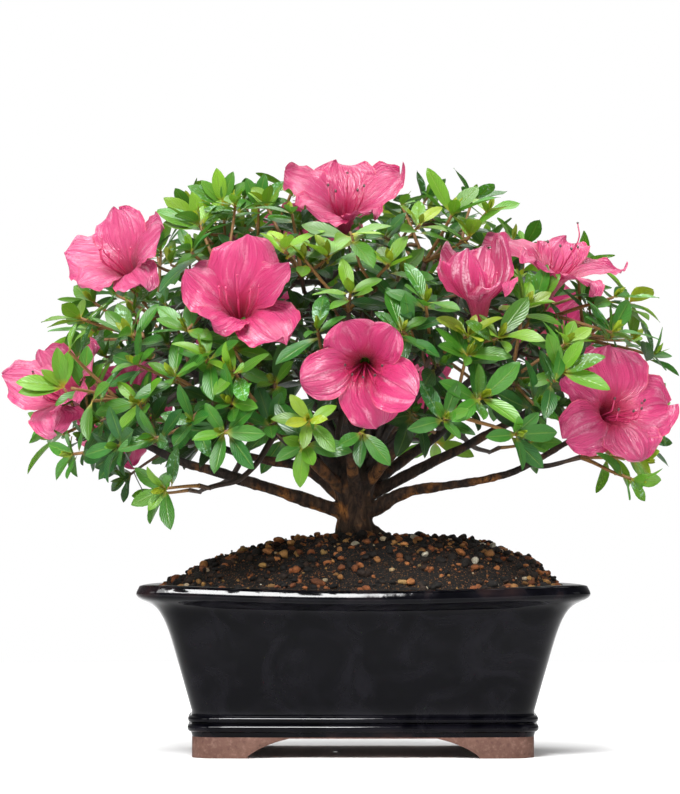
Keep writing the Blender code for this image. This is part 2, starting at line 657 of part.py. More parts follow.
def path_beads(rows, spacing=0.004):
    """Points along a path of x, y, z and radius, close enough together to stand for it."""
    found = []
    for a, b in zip(rows, rows[1:]):
        a, b = Vector(a[:3]), Vector(b[:3])
        count = max(1, math.ceil((b - a).length / spacing))
        found += [a.lerp(b, n / count) for n in range(count)]
    return [*found, Vector(rows[-1][:3])]


def leaf_frame(axis, phase, side, tilt):
    """The way a leaf runs, its own sideways axis and its upper face's normal."""
    level, high = square_axes(axis)
    angle = phase + side * 2 * math.pi / SHOOT_SIDES
    out = level * math.cos(angle) + high * math.sin(angle)
    around = axis.cross(out).normalized()
    along = axis * math.cos(tilt) + out * math.sin(tilt)
    face = axis * math.sin(tilt) - out * math.cos(tilt)
    return along, around, face


def leaf_point(root, along, face, length, bend, t):
    """A point of a leaf's midrib, which curves up or down from its root."""
    return root + along * length * t + face * length * bend * t * t


def shoot_axis(place):
    """The way that a shoot's tip points: out of the crown, and up but for the lowest shoots."""
    outward = (place - POT_CENTRE - CROWN_CENTRE).normalized()
    lift = min(0.55, max(-0.15, (place.z - 0.145) * 12))
    return (outward + UP * lift).normalized()


def grow(beads, branches):
    """The sprays: each a stem with shoots, and each shoot with the leaves of its whorl."""
    draw = random.Random(SEED)
    sprays = []
    for number, (ends, fork, root, arrive, twig) in enumerate(branches):
        name = f"spray_{number + 1:02d}"
        ignore = (name, f"to_{name}")
        shoots = []
        for n, (place, row) in enumerate(ends):
            for attempt in range(TIP_TRIES):
                stray = TIP_STRAY * attempt
                tip = place + Vector([draw.uniform(-stray, stray) for _ in range(3)])
                axis = shoot_axis(tip)
                line = path_beads([fork.lerp(tip, 0.3), tip])
                ahead = [tip + axis * STEM_LENGTH / 2]
                if not beads.clear(line, SHOOT_CLEARANCE, ignore):
                    continue
                if beads.clear(ahead, WHORL_CLEARANCE, ignore):
                    break
            else:
                continue
            beads.add(path_beads([(*fork.lerp(tip, 0.3), 0), (*tip, 0)]), SHOOT_RADIUS, name)
            shoots.append({"key": f"{name}_{n}", "row": row, "fork": fork, "tip": tip, "axis": axis})
            shoots[-1]["phase"] = draw.uniform(0, 2 * math.pi)
            shoots[-1]["length"] = draw.uniform(*LEAF_LENGTH)
        sprays.append({"root": root, "arrive": arrive, "twig": twig, "fork": fork, "shoots": shoots})
    for spray in sprays:
        for shoot in spray["shoots"]:
            shoot["leaves"] = grow_leaves(beads, shoot, draw)
    return sprays


def grow_leaves(beads, shoot, draw):
    """The leaves of one whorl, each tilted clear of what is already there, or left out."""
    leaves = []
    for side in draw.sample(range(SHOOT_SIDES), WHORL_LEAVES):
        tilt = draw.uniform(*LEAF_TILT)
        length = shoot["length"] * draw.uniform(0.85, 1.12)
        bend = draw.uniform(*LEAF_BEND)
        for turn, size in LEAF_TRIES:
            along, _, face = leaf_frame(shoot["axis"], shoot["phase"], side, tilt + turn)
            root = shoot["tip"]
            line = [leaf_point(root, along, face, length * size, bend, t) for t in LEAF_BEAD_PLACES]
            if within_reach(line[-1]) and beads.clear(line, LEAF_CLEARANCE, shoot["key"]):
                beads.add(line, LEAF_BEAD, shoot["key"])
                leaves.append((side, tilt + turn, length * size, bend))
                break
    return leaves


def flower_beads(beads):
    """Adds the flowers and buds to the beads."""
    for bloom in BLOOMS:
        for lobe in range(LOBES):
            beads.add([corolla_point(bloom, lobe, *spot) for spot in LOBE_SPOTS], PETAL_BEAD, bloom[0])
        base, axis = bloom_base(bloom)
        beads.add([base + axis * bloom[3] * s for s in (0.0, 0.1, 0.2, 0.3)], PETAL_BEAD, bloom[0])
        beads.add([base - axis * PEDICEL_LENGTH * s for s in (0.5, 1.0)], PEDICEL_RADIUS, bloom[0])
    for bud in BUDS:
        place, axis = POT_CENTRE + Vector(bud[1]), Vector(bud[2]).normalized()
        beads.add([place + axis * bud[3] * s for s in (-0.4, -0.2, 0.0, 0.2, 0.4)], BUD_BEAD, bud[0])


def tree_layout():
    """Everything that grows: side branches to each spray, bloom and bud, and the sprays themselves."""
    rows = limb_rows()
    beads = Beads()
    flower_beads(beads)
    trunk = [(*(Vector(p[:3]) + POT_CENTRE), p[3]) for p in TRUNK]
    for path in [trunk[2:], *(limb_points(name) for name in LIMBS)]:
        beads.add(path_beads(path), LIMB_ROOT_RADIUS, "wood")
    twigs = [side_branch(rows, *bloom_root(bloom)) for bloom in BLOOMS]
    twigs += [side_branch(rows, *bud_root(bud)) for bud in BUDS]
    for twig in twigs:
        beads.add(path_beads(twig), SIDE_BRANCH_ROOT_RADIUS, "wood")
    branches = []
    draw = random.Random(SEED)
    for ends in bundles(shoot_ends()):
        name = f"spray_{len(branches) + 1:02d}"
        middle = sum((place for place, _ in ends), Vector()) / len(ends)
        outward = (middle - POT_CENTRE - CROWN_CENTRE).normalized()
        for attempt in range(FORK_TRIES):
            stray = FORK_STRAY * attempt / FORK_TRIES * 2
            fork = middle - outward * FORK_DEPTHS[attempt % len(FORK_DEPTHS)]
            fork += Vector([draw.uniform(-stray, stray) for _ in range(3)])
            arrive = (outward + UP * 0.2).normalized()
            root = fork - arrive * STEM_LENGTH
            twig = side_branch(rows, root, arrive)
            stem, line = path_beads([root, fork]), path_beads(twig)
            if not beads.clear(stem, STEM_CLEARANCE, "none"):
                continue
            if beads.clear(line, TWIG_CLEARANCE, ("wood", "to")):
                branches.append((ends, fork, root, arrive, twig))
                beads.add(line[:-1], SIDE_BRANCH_ROOT_RADIUS, f"to_{name}")
                beads.add(stem, FORK_RADIUS, name)
                break
    sprays = [spray for spray in grow(beads, branches[:MOST_SPRAYS]) if spray["shoots"]]
    return twigs + [spray["twig"] for spray in sprays], sprays


# The pot and what it holds.


def wall_ring(inset, height, corner_radius, corner_steps=3, sag=True):
    """One level line of the pot's wall, as points round a rounded, slightly bowed rectangle."""
    half_x, half_y = RIM_HALF_LENGTH - inset, RIM_HALF_DEPTH - inset
    points = []
    for corner in range(4):
        sign_x = 1 if corner in (0, 3) else -1
        sign_y = 1 if corner in (0, 1) else -1
        middle = Vector((sign_x * (half_x - corner_radius), sign_y * (half_y - corner_radius)))
        for step in range(corner_steps + 1):
            angle = (corner + step / corner_steps) * math.pi / 2
            points.append(middle + corner_radius * Vector((math.cos(angle), math.sin(angle))))
        last, long_way = points[-1], corner % 2 == 0
        after = Vector((-last.x, last.y)) if long_way else Vector((last.x, -last.y))
        count = 4 if long_way else 2
        points += [last.lerp(after, n / count) for n in range(1, count)]
    found = []
    for point in points:
        long_side = max(0.0, 1 - (point.x / half_x) ** 2)
        short_side = max(0.0, 1 - (point.y / half_y) ** 2)
        x = point.x + math.copysign(SIDE_BOW * 0.6 * short_side, point.x) * (abs(point.x) > half_x - 0.001)
        y = point.y + math.copysign(SIDE_BOW * long_side, point.y) * (abs(point.y) > half_y - 0.001)
        share = max(0.0, (height - FLOOR_TOP) / (RIM_HEIGHT - FLOOR_TOP)) if sag else 0.0
        sagged = height - RIM_SAG * long_side**1.5 * share * (abs(point.y) > half_y * 0.6)
        found.append(Vector((x, y, sagged)) + POT_CENTRE)
    return found


def loft(rings, name, collection, close_first=True, close_last=True, colour=None):
    """Skins rings of equal length in order, and fills the first and the last."""
    work = bmesh.new()
    rows = [[work.verts.new(p) for p in ring] for ring in rings]
    for lower, upper in zip(rows, rows[1:]):
        for n in range(len(lower)):
            m = (n + 1) % len(lower)
            work.faces.new((lower[n], lower[m], upper[m], upper[n]))
    if close_first:
        work.faces.new(reversed(rows[0]))
    if close_last:
        work.faces.new(rows[-1])
    return add_object(name, mesh_of(work, name), collection, colour)


def arch_cutter(name, half_width, half_run, across, collection):
    """A prism with the shape of the opening between two feet, lying along Y or X."""
    shoulder = half_width - ARCH_SHOULDER
    right = [(half_width, -0.002), (half_width - 0.001, 0.0015), (half_width - 0.006, 0.0045),
             (half_width - 0.0125, 0.0072), (shoulder, ARCH_HEIGHT)]
    outline = right + [(-x, y) for x, y in reversed(right)]
    turn = Matrix.Rotation(math.pi / 2, 4, "X")
    if across == "X":
        turn = Matrix.Rotation(math.pi / 2, 4, "Z") @ turn
    return outline_prism(name, outline, half_run, collection, Matrix.Translation(POT_CENTRE) @ turn)


def make_pot(collection):
    """The fired pot: flared walls, rolled rim, beaded foot line, four bracket feet and two drains."""
    outer = [wall_ring(inset, z, OUTER_CORNER_RADIUS) for z, inset in OUTER_PROFILE]
    inner = [wall_ring(inset, z, INNER_CORNER_RADIUS) for z, inset in INNER_PROFILE]
    pot = loft([*outer, *inner], "pot", collection, colour="glaze")
    inner_foot = FOOT_INSET + FOOT_THICKNESS
    foot_rings = [
        wall_ring(inner_foot, 0.0125, 0.003, sag=False),
        wall_ring(FOOT_INSET, 0.0125, OUTER_CORNER_RADIUS, sag=False),
        wall_ring(FOOT_INSET, 0.0, OUTER_CORNER_RADIUS, sag=False),
        wall_ring(inner_foot, 0.0, 0.003, sag=False),
    ]
    foot = loft([*foot_rings, foot_rings[0]], "foot", collection, False, False)
    work = bmesh.new()
    work.from_mesh(foot.data)
    bmesh.ops.remove_doubles(work, verts=work.verts, dist=0.00001)
    foot.data = mesh_of(work, "foot")
    reach = RIM_HALF_LENGTH
    cut(foot, arch_cutter("long_arch", LONG_ARCH_HALF, reach, "Y", collection))
    cut(foot, arch_cutter("short_arch", SHORT_ARCH_HALF, reach, "X", collection))
    fuse(pot, [foot], collection, "EXACT")
    for side in (-1, 1):
        work = bmesh.new()
        bmesh.ops.create_cone(
            work, cap_ends=True, segments=14, radius1=DRAIN_RADIUS, radius2=DRAIN_RADIUS, depth=0.04,
            matrix=Matrix.Translation(POT_CENTRE + Vector((side * DRAIN_X, 0, FLOOR_TOP))),
        )
        cut(pot, add_object("drain", mesh_of(work, "drain"), collection))
    pot.data.materials.clear()
    pot.data.materials.append(material("glaze"))
    return pot


def make_drain_mesh(name, side, collection):
    """The square of plastic mesh that lies over a drain hole and keeps the soil in."""
    middle = POT_CENTRE + Vector((side * DRAIN_X, 0, FLOOR_TOP + GAP))
    half = Vector((MESH_SIDE / 2, MESH_SIDE / 2, 0))
    sheet = box(name, middle - half, middle + half + UP * MESH_THICKNESS, collection)
    work = bmesh.new()
    for column in (-0.5, 0.5):
        for row in (-0.5, 0.5):
            place = Matrix.Translation(middle + Vector((column * MESH_PITCH, row * MESH_PITCH, 0)))
            bmesh.ops.create_cube(work, size=MESH_HOLE, matrix=place)
    cut(sheet, add_object("mesh_holes", mesh_of(work, "mesh_holes"), collection))
    sheet.data.materials.clear()
    sheet.data.materials.append(material("mesh"))
    return sheet


def soil_height(x, y):
    """The height of the soil, from the pot's centre: a mound that is fuller to the right."""
    rho = ((abs(x) / 0.091) ** 2.6 + (abs(y) / 0.066) ** 2.6) ** (1 / 2.6)
    lump = math.sin(310 * x + 2.0) * math.sin(290 * y + 1.0) + 0.6 * math.sin(530 * x + 470 * y)
    edge = RIM_HEIGHT - SOIL_EDGE_DROP
    shoulder, mound = max(0.0, 1 - rho**8), max(0.0, 1 - rho**2)
    return edge + shoulder * (SOIL_SHOULDER + SOIL_TILT * x + SOIL_LUMP * lump) + SOIL_MOUND * mound


def inner_inset(height):
    """How far the pot's inner wall stands in from the rim's outer line at a height."""
    rows = sorted(INNER_PROFILE)
    return float(np.interp(height, [z for z, _ in rows], [inset for _, inset in rows]))


def make_soil(collection):
    """The soil: it fills the pot to its walls, with room for the drain meshes and the trunk."""
    edge = RIM_HEIGHT - SOIL_EDGE_DROP
    # The walls keep a wider gap where the pot's facets and sag leave less room.
    slack = GAP * 1.5
    levels = (FLOOR_TOP + GAP, 0.0600, 0.0700, edge)
    walls = [wall_ring(inner_inset(z) + slack, z, INNER_CORNER_RADIUS) for z in levels]
    walls[0] = [Vector((p.x, p.y, FLOOR_TOP + GAP)) for p in walls[0]]
    tops = []
    for share in reversed(SOIL_RINGS[:-1]):
        ring = []
        for point in walls[-1]:
            x, y = (point.x - POT_CENTRE.x) * share, (point.y - POT_CENTRE.y) * share
            ring.append(Vector((x, y, soil_height(x, y))) + POT_CENTRE)
        tops.append(ring)
    soil = loft([*walls, *tops], "soil", collection, colour="soil")
    for side in (-1, 1):
        middle = POT_CENTRE + Vector((side * DRAIN_X, 0, 0))
        half = MESH_SIDE / 2 + GAP * 1.5
        low = middle + Vector((-half, -half, 0))
        high = middle + Vector((half, half, FLOOR_TOP + 2 * GAP + MESH_THICKNESS))
        cut(soil, box("mesh_room", low, high, collection))
    hole = [(*(Vector(p[:3]) + POT_CENTRE), p[3] + GAP * 1.5) for p in TRUNK[:5]]
    hole[0] = (hole[0][0], hole[0][1], hole[0][2] - GAP * 1.5, hole[0][3])
    cut(soil, tube("trunk_hole", hole, collection, 2))
    soil.data.materials.clear()
    soil.data.materials.append(material("soil"))
    return soil


# The wood, the leafy sprays and the flowers.


def make_wood(twigs, collection):
    """The trunk with its limbs and side branches, grown as one piece."""
    trunk = tube("trunk", [(*(Vector(p[:3]) + POT_CENTRE), p[3]) for p in TRUNK], collection, 2)
    limbs = [tube("limb", limb_points(name), collection, 1) for name in LIMBS]
    # A side branch starts a little inside its limb and stops short of the spray that it carries.
    sides = [tube("side", twig, collection) for twig in twigs]
    fuse(trunk, limbs + sides, collection)
    trunk.name = "trunk_and_branches"
    trunk.data.materials.clear()
    trunk.data.materials.append(material("bark"))
    return trunk


def shoot_ring(shoot, place, way, radius):
    """A ring of a shoot that runs this way, its corners in line with those of the shoot's tip.

    The flats at the tip face where the leaves grow.
    """
    level, high = square_axes(shoot["axis"])
    carry = shoot["axis"].rotation_difference(way)
    angles = [shoot["phase"] + (n - 0.5) * 2 * math.pi / SHOOT_SIDES for n in range(SHOOT_SIDES)]
    return [place + carry @ (level * math.cos(a) + high * math.sin(a)) * radius for a in angles]


def grow_blade(work, face, shoot, leaf):
    """Extrudes a side face of a shoot into a leaf: root, widest part, shoulder and tip."""
    side, tilt, length, bend = leaf
    along, around, up = leaf_frame(shoot["axis"], shoot["phase"], side, tilt)
    root = face.calc_center_median()
    axis = shoot["axis"]
    for t, width in (*LEAF_SECTIONS, (1.0, 0.0)):
        made = bmesh.ops.extrude_discrete_faces(work, faces=[face])
        face = made["faces"][0]
        middle = leaf_point(root, along, up, length, bend, t)
        half = LEAF_HALF_WIDTH * length * width
        thick = LEAF_THICKNESS / 2
        corners = sorted(face.verts, key=lambda v: (v.co - root).dot(around))
        for pair, sign in ((corners[:2], -1), (corners[2:], 1)):
            # The first section starts from the shoot's side, the others from a section of the leaf.
            rise = axis if t == LEAF_SECTIONS[0][0] else up
            lower, upper = sorted(pair, key=lambda vertex: vertex.co.dot(rise))
            lower.co = middle + around * sign * half - up * thick
            upper.co = middle + around * sign * half + up * thick
        if width == 0.0:
            bmesh.ops.pointmerge(work, verts=list(face.verts), merge_co=middle)


def make_shoot(spray, shoot, name, whole, collection):
    """One leafy shoot. The first shoot of a spray also has the spray's stem."""
    work = bmesh.new()
    axis, tip = shoot["axis"], shoot["tip"]
    run = (tip - shoot["fork"]).normalized()
    places = [(shoot["fork"], run, SHOOT_RADIUS * 0.6)]
    if whole:
        places = [
            (spray["root"] + spray["arrive"] * GAP, spray["arrive"], SHOOT_RADIUS),
            (spray["fork"], (spray["arrive"] + run).normalized(), FORK_RADIUS),
        ]
    places += [
        (tip - axis * WHORL_DEPTH / 2, axis, SHOOT_RADIUS * 1.15),
        (tip + axis * WHORL_DEPTH / 2, axis, SHOOT_RADIUS * 1.15),
    ]
    rings = [shoot_ring(shoot, place, way, radius) for place, way, radius in places]
    rows = [[work.verts.new(point) for point in ring] for ring in rings]
    sides = []
    for lower, upper in zip(rows, rows[1:]):
        sides = [
            work.faces.new((lower[n], lower[(n + 1) % SHOOT_SIDES], upper[(n + 1) % SHOOT_SIDES], upper[n]))
            for n in range(SHOOT_SIDES)
        ]
    work.faces.new(reversed(rows[0]))
    bud = work.verts.new(tip + axis * (WHORL_DEPTH / 2 + 0.003))
    for n in range(SHOOT_SIDES):
        work.faces.new((rows[-1][n], rows[-1][(n + 1) % SHOOT_SIDES], bud))
    for leaf in shoot["leaves"]:
        grow_blade(work, sides[leaf[0]], shoot, leaf)
    return add_object(name, mesh_of(work, name), collection)


def make_spray(spray, name, collection):
    """A leafy spray as one body."""
    shoots = [
        make_shoot(spray, shoot, name, n == 0, collection) for n, shoot in enumerate(spray["shoots"])
    ]
    made = fuse(shoots[0], shoots[1:], collection)
    made.data.materials.clear()
    made.data.materials.append(material("leaf"))
    return made


def make_bloom(bloom, collection):
    """A flower: a five-lobed funnel of petal, with its stalk, its style and a few stamens."""
    name, _, _, across, _, spread = bloom
    work = bmesh.new()
    foot = [work.verts.new(corolla_point(bloom, lobe, 0.0, -1)) for lobe in range(LOBES)]
    notches = [work.verts.new(corolla_point(bloom, lobe, NOTCH_AT, -1)) for lobe in range(LOBES)]
    middles = [work.verts.new(corolla_point(bloom, lobe, NOTCH_AT, 0)) for lobe in range(LOBES)]
    work.faces.new(reversed(foot))
    for lobe in range(LOBES):
        after = (lobe + 1) % LOBES
        work.faces.new((foot[lobe], middles[lobe], notches[lobe]))
        work.faces.new((foot[lobe], foot[after], middles[lobe]))
        work.faces.new((foot[after], notches[after], middles[lobe]))
        row = [notches[lobe], middles[lobe], notches[after]]
        for along in (0.71, 0.91):
            after = [work.verts.new(corolla_point(bloom, lobe, along, side)) for side in (-1, 0, 1)]
            for n in (0, 1):
                work.faces.new((row[n], row[n + 1], after[n + 1], after[n]))
            row = after
        tip = work.verts.new(corolla_point(bloom, lobe, 1.0, 0))
        for n in (0, 1):
            work.faces.new((row[n], row[n + 1], tip))
    bmesh.ops.triangulate(work, faces=[f for f in work.faces if len(f.verts) == 4])
    corolla = add_object(name, mesh_of(work, name), collection)
    shell = corolla.modifiers.new("shell", "SOLIDIFY")
    shell.thickness = COROLLA_THICKNESS
    shell.offset = 0.0
    settle(corolla)
    base, axis = bloom_base(bloom)
    root, _ = bloom_root(bloom)
    level, high = square_axes(axis)
    reach = COROLLA_LENGTH * across
    parts = [tube("style", [
        (*(root + axis * GAP), PEDICEL_RADIUS), (*(base - axis * 0.001), PEDICEL_RADIUS * 1.5),
        (*(base + axis * reach * STYLE_REACH - high * reach * STYLE_DROOP), STYLE_RADIUS),
    ], collection)]
    # A flower that is still half open hides its stamens.
    for n in range(STAMENS if spread > CURL_BELOW else 0):
        angle = math.radians(225 + 90 * n)
        out = (level * math.cos(angle) + high * math.sin(angle)) * reach * STAMEN_SPREAD
        end = base + axis * reach * (STAMEN_REACH + 0.04 * n) + out
        line = [(*(base + axis * 0.001), STYLE_RADIUS), (*end, STYLE_RADIUS)]
        parts.append(tube("stamen", line, collection))
    made = fuse(corolla, parts, collection)
    made.data.materials.clear()
    made.data.materials.append(material("petal"))
    return made


def make_bud(bud, collection):
    """A closed bud, pointed at its tip, on its stalk."""
    name, place, faces, length = bud
    axis = Vector(faces).normalized()
    root, _ = bud_root(bud)
    work = bmesh.new()
    bmesh.ops.create_uvsphere(work, u_segments=7, v_segments=6, radius=1.0)
    for vertex in work.verts:
        wide = BUD_HALF_WIDTH * (1 - BUD_TAPER * max(0.0, vertex.co.z))
        vertex.co = Vector((vertex.co.x * wide, vertex.co.y * wide, vertex.co.z * 0.5)) * length
    turn = axis.to_track_quat("Z", "Y").to_matrix().to_4x4()
    work.transform(Matrix.Translation(POT_CENTRE + Vector(place)) @ turn)
    made = add_object(name, mesh_of(work, name), collection)
    stalk = tube("stalk", [
        (*(root + axis * GAP), PEDICEL_RADIUS), (*(root + axis * (PEDICEL_LENGTH + 0.003)), PEDICEL_RADIUS),
    ], collection)
    fuse(made, [stalk], collection)
    made.data.materials.clear()
    made.data.materials.append(material("petal"))
    return made


def shade(collection):
    """Smooths round pieces and keeps their sharp edges."""
    for made in collection.objects:
        made.data.shade_smooth()
        made.data.set_sharp_from_angle(angle=math.radians(35))


def main():
    for old in list(bpy.data.objects):
        bpy.data.objects.remove(old)
    bonsai = bpy.data.collections.new("azalea_bonsai")
    bpy.context.scene.collection.children.link(bonsai)
    twigs, sprays = tree_layout()
    make_pot(bonsai)
    make_drain_mesh("drain_mesh_left", -1, bonsai)
    make_drain_mesh("drain_mesh_right", 1, bonsai)
    make_soil(bonsai)
    make_wood(twigs, bonsai)
    for number, spray in enumerate(sprays):
        make_spray(spray, f"spray_{number + 1:02d}", bonsai)
    for bloom in BLOOMS:
        make_bloom(bloom, bonsai)
    for bud in BUDS:
        make_bud(bud, bonsai)
    shade(bonsai)


main()
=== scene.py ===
"""The looks of an azalea bonsai in flower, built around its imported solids.

The layout of the tree is worked out here from the same values and seed as the solids, so every fine
spray, bloom and branch stands where its solid stands. Metres, +Z up.
"""

import itertools
import json
import math
import random

import bmesh
import bpy
import numpy as np
from mathutils import Matrix, Vector

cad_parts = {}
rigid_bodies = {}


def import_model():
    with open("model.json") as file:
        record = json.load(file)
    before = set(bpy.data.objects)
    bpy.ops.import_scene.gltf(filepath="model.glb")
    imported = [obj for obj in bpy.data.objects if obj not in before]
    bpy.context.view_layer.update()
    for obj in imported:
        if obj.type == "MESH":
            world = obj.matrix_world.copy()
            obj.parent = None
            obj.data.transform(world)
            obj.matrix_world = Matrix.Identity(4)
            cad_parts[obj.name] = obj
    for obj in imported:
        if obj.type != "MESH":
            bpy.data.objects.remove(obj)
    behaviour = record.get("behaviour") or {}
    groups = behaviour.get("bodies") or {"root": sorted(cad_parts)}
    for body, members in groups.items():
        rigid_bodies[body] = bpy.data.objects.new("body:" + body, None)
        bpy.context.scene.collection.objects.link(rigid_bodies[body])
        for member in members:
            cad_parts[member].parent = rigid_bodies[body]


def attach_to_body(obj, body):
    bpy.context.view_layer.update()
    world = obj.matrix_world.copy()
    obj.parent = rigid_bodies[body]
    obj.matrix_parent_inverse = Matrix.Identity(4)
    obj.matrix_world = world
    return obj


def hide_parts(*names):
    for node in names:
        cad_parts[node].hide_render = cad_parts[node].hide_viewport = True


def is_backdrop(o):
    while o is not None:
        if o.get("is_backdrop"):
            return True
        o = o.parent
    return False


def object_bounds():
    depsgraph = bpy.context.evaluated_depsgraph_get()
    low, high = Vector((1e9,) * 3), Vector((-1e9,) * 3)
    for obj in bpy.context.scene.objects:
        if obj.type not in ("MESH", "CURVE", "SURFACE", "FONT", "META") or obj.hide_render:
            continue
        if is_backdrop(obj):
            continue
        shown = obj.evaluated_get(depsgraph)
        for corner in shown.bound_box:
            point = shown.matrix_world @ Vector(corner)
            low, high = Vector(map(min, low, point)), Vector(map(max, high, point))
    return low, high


SEED = 11
GAP = 0.0003
UP = Vector((0, 0, 1))

# The pot, about its own centre.
POT_CENTRE = Vector((0.0127, 0.0005, 0.0))
RIM_HALF_LENGTH = 0.1015
RIM_HALF_DEPTH = 0.0750
RIM_HEIGHT = 0.0780
BODY_BOTTOM = 0.0095
FLOOR_TOP = 0.0175
OUTER_CORNER_RADIUS = 0.0100
INNER_CORNER_RADIUS = 0.0070
SIDE_BOW = 0.0030
RIM_SAG = 0.0026
# Height, then how far the wall stands inside the rim's outer line, above the beads of the foot.
OUTER_PROFILE = (
    (0.0212, 0.0240), (0.0400, 0.0189), (0.0563, 0.0143), (0.0648, 0.0108), (0.0692, 0.0072),
    (0.0722, 0.0016), (0.0745, 0.0000), (RIM_HEIGHT, 0.0014),
)
INNER_PROFILE = (
    (RIM_HEIGHT, 0.0066), (0.0765, 0.0082), (0.0700, 0.0112), (0.0600, 0.0170), (FLOOR_TOP, 0.0300),
)
FOOT_INSET = 0.0243
FOOT_THICKNESS = 0.0120
FOOT_TOP = 0.0125
FOOT_INNER_RADIUS = 0.003
FOOT_ROUNDING = 0.0006
LONG_ARCH_HALF = 0.0525
SHORT_ARCH_HALF = 0.0270
# The end of the opening between two feet: how far in, and how high.
ARCH_CURVE = ((0.0, 0.0), (0.0010, 0.0015), (0.0060, 0.0045), (0.0125, 0.0072), (0.0190, 0.0090))
DRAIN_X = 0.0420
DRAIN_RADIUS = 0.0070
DRAIN_CUT = 0.04
# Below this height the body's clay is bare.
GLAZE_END = BODY_BOTTOM + 0.0004
# The beads round the pot's foot: height of the middle and radius.
BASE_BEADS = ((0.0135, 0.0019), (0.0174, 0.0017))
BEAD_INSET = 0.0241
CORNER_STEPS = 12
POT_LONG_STEPS = 26
POT_SHORT_STEPS = 18
LIP_CROWN = 0.0005
LIP_SHARES = (0.2, 0.4, 0.6, 0.8)
SHARP_EDGE = math.radians(50)

# The soil, mounded up to the trunk.
SOIL_EDGE_DROP = 0.0015
SOIL_SHOULDER = 0.0095
SOIL_MOUND = 0.0140
SOIL_TILT = 0.030
SOIL_LUMP = 0.0011
SOIL_HALF_LENGTH = 0.091
SOIL_HALF_DEPTH = 0.066
SOIL_SQUARENESS = 2.6
SOIL_STEPS = 60
# Cell size, height and seed of each layer of the soil's roughness.
SOIL_ROUGHNESS = ((0.0075, 0.0013, 3), (0.0031, 0.0009, 4), (0.0014, 0.0006, 5))
CRUMB_COUNT = 3600
# A crumb's radius: the least, what chance adds at most, and how much it favours small ones.
CRUMB_RADIUS = (0.0005, 0.0015, 2.3)
COARSE_CRUMB = 0.0011
# Crumbs stay this far inside the rim's outer line, and out of the trunk: its x and its radius.
CRUMB_INSET = 0.0078
TRUNK_SPOT = (-0.003, 0.009)

# Places on the tree are given from the pot's centre. Trunk points are x, y, z and radius.
TRUNK = (
    (-0.003, 0.000, 0.068, 0.0108), (-0.003, 0.000, 0.094, 0.0104), (-0.0035, 0.000, 0.102, 0.0088),
    (-0.0035, 0.000, 0.110, 0.0080), (-0.004, 0.000, 0.117, 0.0090), (-0.004, 0.000, 0.129, 0.0086),
    (-0.003, 0.002, 0.145, 0.0056), (0.000, 0.004, 0.175, 0.0040), (0.002, 0.004, 0.200, 0.0028),
    (0.000, 0.002, 0.222, 0.0018),
)
LIMBS = {
    "low_left": ((-0.008, -0.002, 0.1115), (-0.043, -0.010, 0.1230), (-0.076, -0.016, 0.1325),
                 (-0.099, -0.020, 0.1415), (-0.119, -0.022, 0.1525)),
    "left": ((-0.008, 0.002, 0.1175), (-0.027, 0.004, 0.1325), (-0.048, 0.008, 0.1375),
             (-0.072, 0.014, 0.1445), (-0.108, 0.020, 0.1685)),
    "low_right": ((0.002, -0.002, 0.1115), (0.0205, -0.006, 0.1215), (0.039, -0.012, 0.1240),
                  (0.070, -0.018, 0.1305), (0.106, -0.022, 0.1505)),
    "right": ((0.002, 0.003, 0.1195), (0.030, 0.008, 0.1345), (0.055, 0.014, 0.1465),
              (0.080, 0.018, 0.1615), (0.102, 0.020, 0.1795)),
    "high_left": ((-0.006, -0.001, 0.1255), (-0.030, -0.006, 0.1555), (-0.060, -0.010, 0.1855),
                  (-0.082, -0.012, 0.2085)),
    "high_right": ((0.000, 0.001, 0.1315), (0.022, 0.004, 0.1635), (0.047, 0.008, 0.1935),
                   (0.064, 0.010, 0.2155)),
    "front": ((-0.003, -0.005, 0.1195), (-0.006, -0.030, 0.1415), (-0.011, -0.055, 0.1615),
              (-0.014, -0.076, 0.1815)),
    "front_right": ((0.001, -0.004, 0.1235), (0.022, -0.032, 0.1485), (0.046, -0.054, 0.1685),
                    (0.062, -0.066, 0.1835)),
    "front_left": ((-0.008, -0.003, 0.1215), (-0.032, -0.032, 0.1435), (-0.060, -0.052, 0.1615),
                   (-0.078, -0.062, 0.1755)),
    "back": ((-0.003, 0.005, 0.1195), (0.003, 0.032, 0.1415), (0.007, 0.058, 0.1635),
             (0.008, 0.076, 0.1795)),
    "back_left": ((-0.008, 0.004, 0.1235), (-0.034, 0.030, 0.1455), (-0.062, 0.050, 0.1635),
                  (-0.080, 0.060, 0.1775)),
    "back_right": ((0.002, 0.004, 0.1235), (0.030, 0.030, 0.1455), (0.056, 0.050, 0.1655),
                   (0.074, 0.060, 0.1795)),
    "crown_front": ((-0.003, 0.000, 0.1375), (-0.006, -0.016, 0.1715), (-0.016, -0.030, 0.2055),
                    (-0.020, -0.034, 0.2275)),
    "crown_back": ((-0.002, 0.004, 0.1375), (0.006, 0.020, 0.1715), (0.014, 0.034, 0.2035),
                   (0.016, 0.038, 0.2255)),
}
LIMB_ROOT_RADIUS = 0.0040
LIMB_TIP_RADIUS = 0.0016
LOW_LIMB_ROOT_RADIUS = 0.0046
SIDE_BRANCH_ROOT_RADIUS = 0.0015
SIDE_BRANCH_TIP_RADIUS = 0.0010
TWIG_END_SHARE = 0.4
# A side branch is this long at least, and a start that needs a sharp turn counts as farther away.
SHORTEST_TWIG = 0.012
TURN_COST = 0.9
# The roots that show: angle about the trunk, reach and radius.
ROOTS = (
    (205, 0.016, 0.0026), (262, 0.012, 0.0030), (310, 0.014, 0.0026), (350, 0.016, 0.0028),
    (40, 0.015, 0.0028), (95, 0.013, 0.0030), (150, 0.015, 0.0026),
)
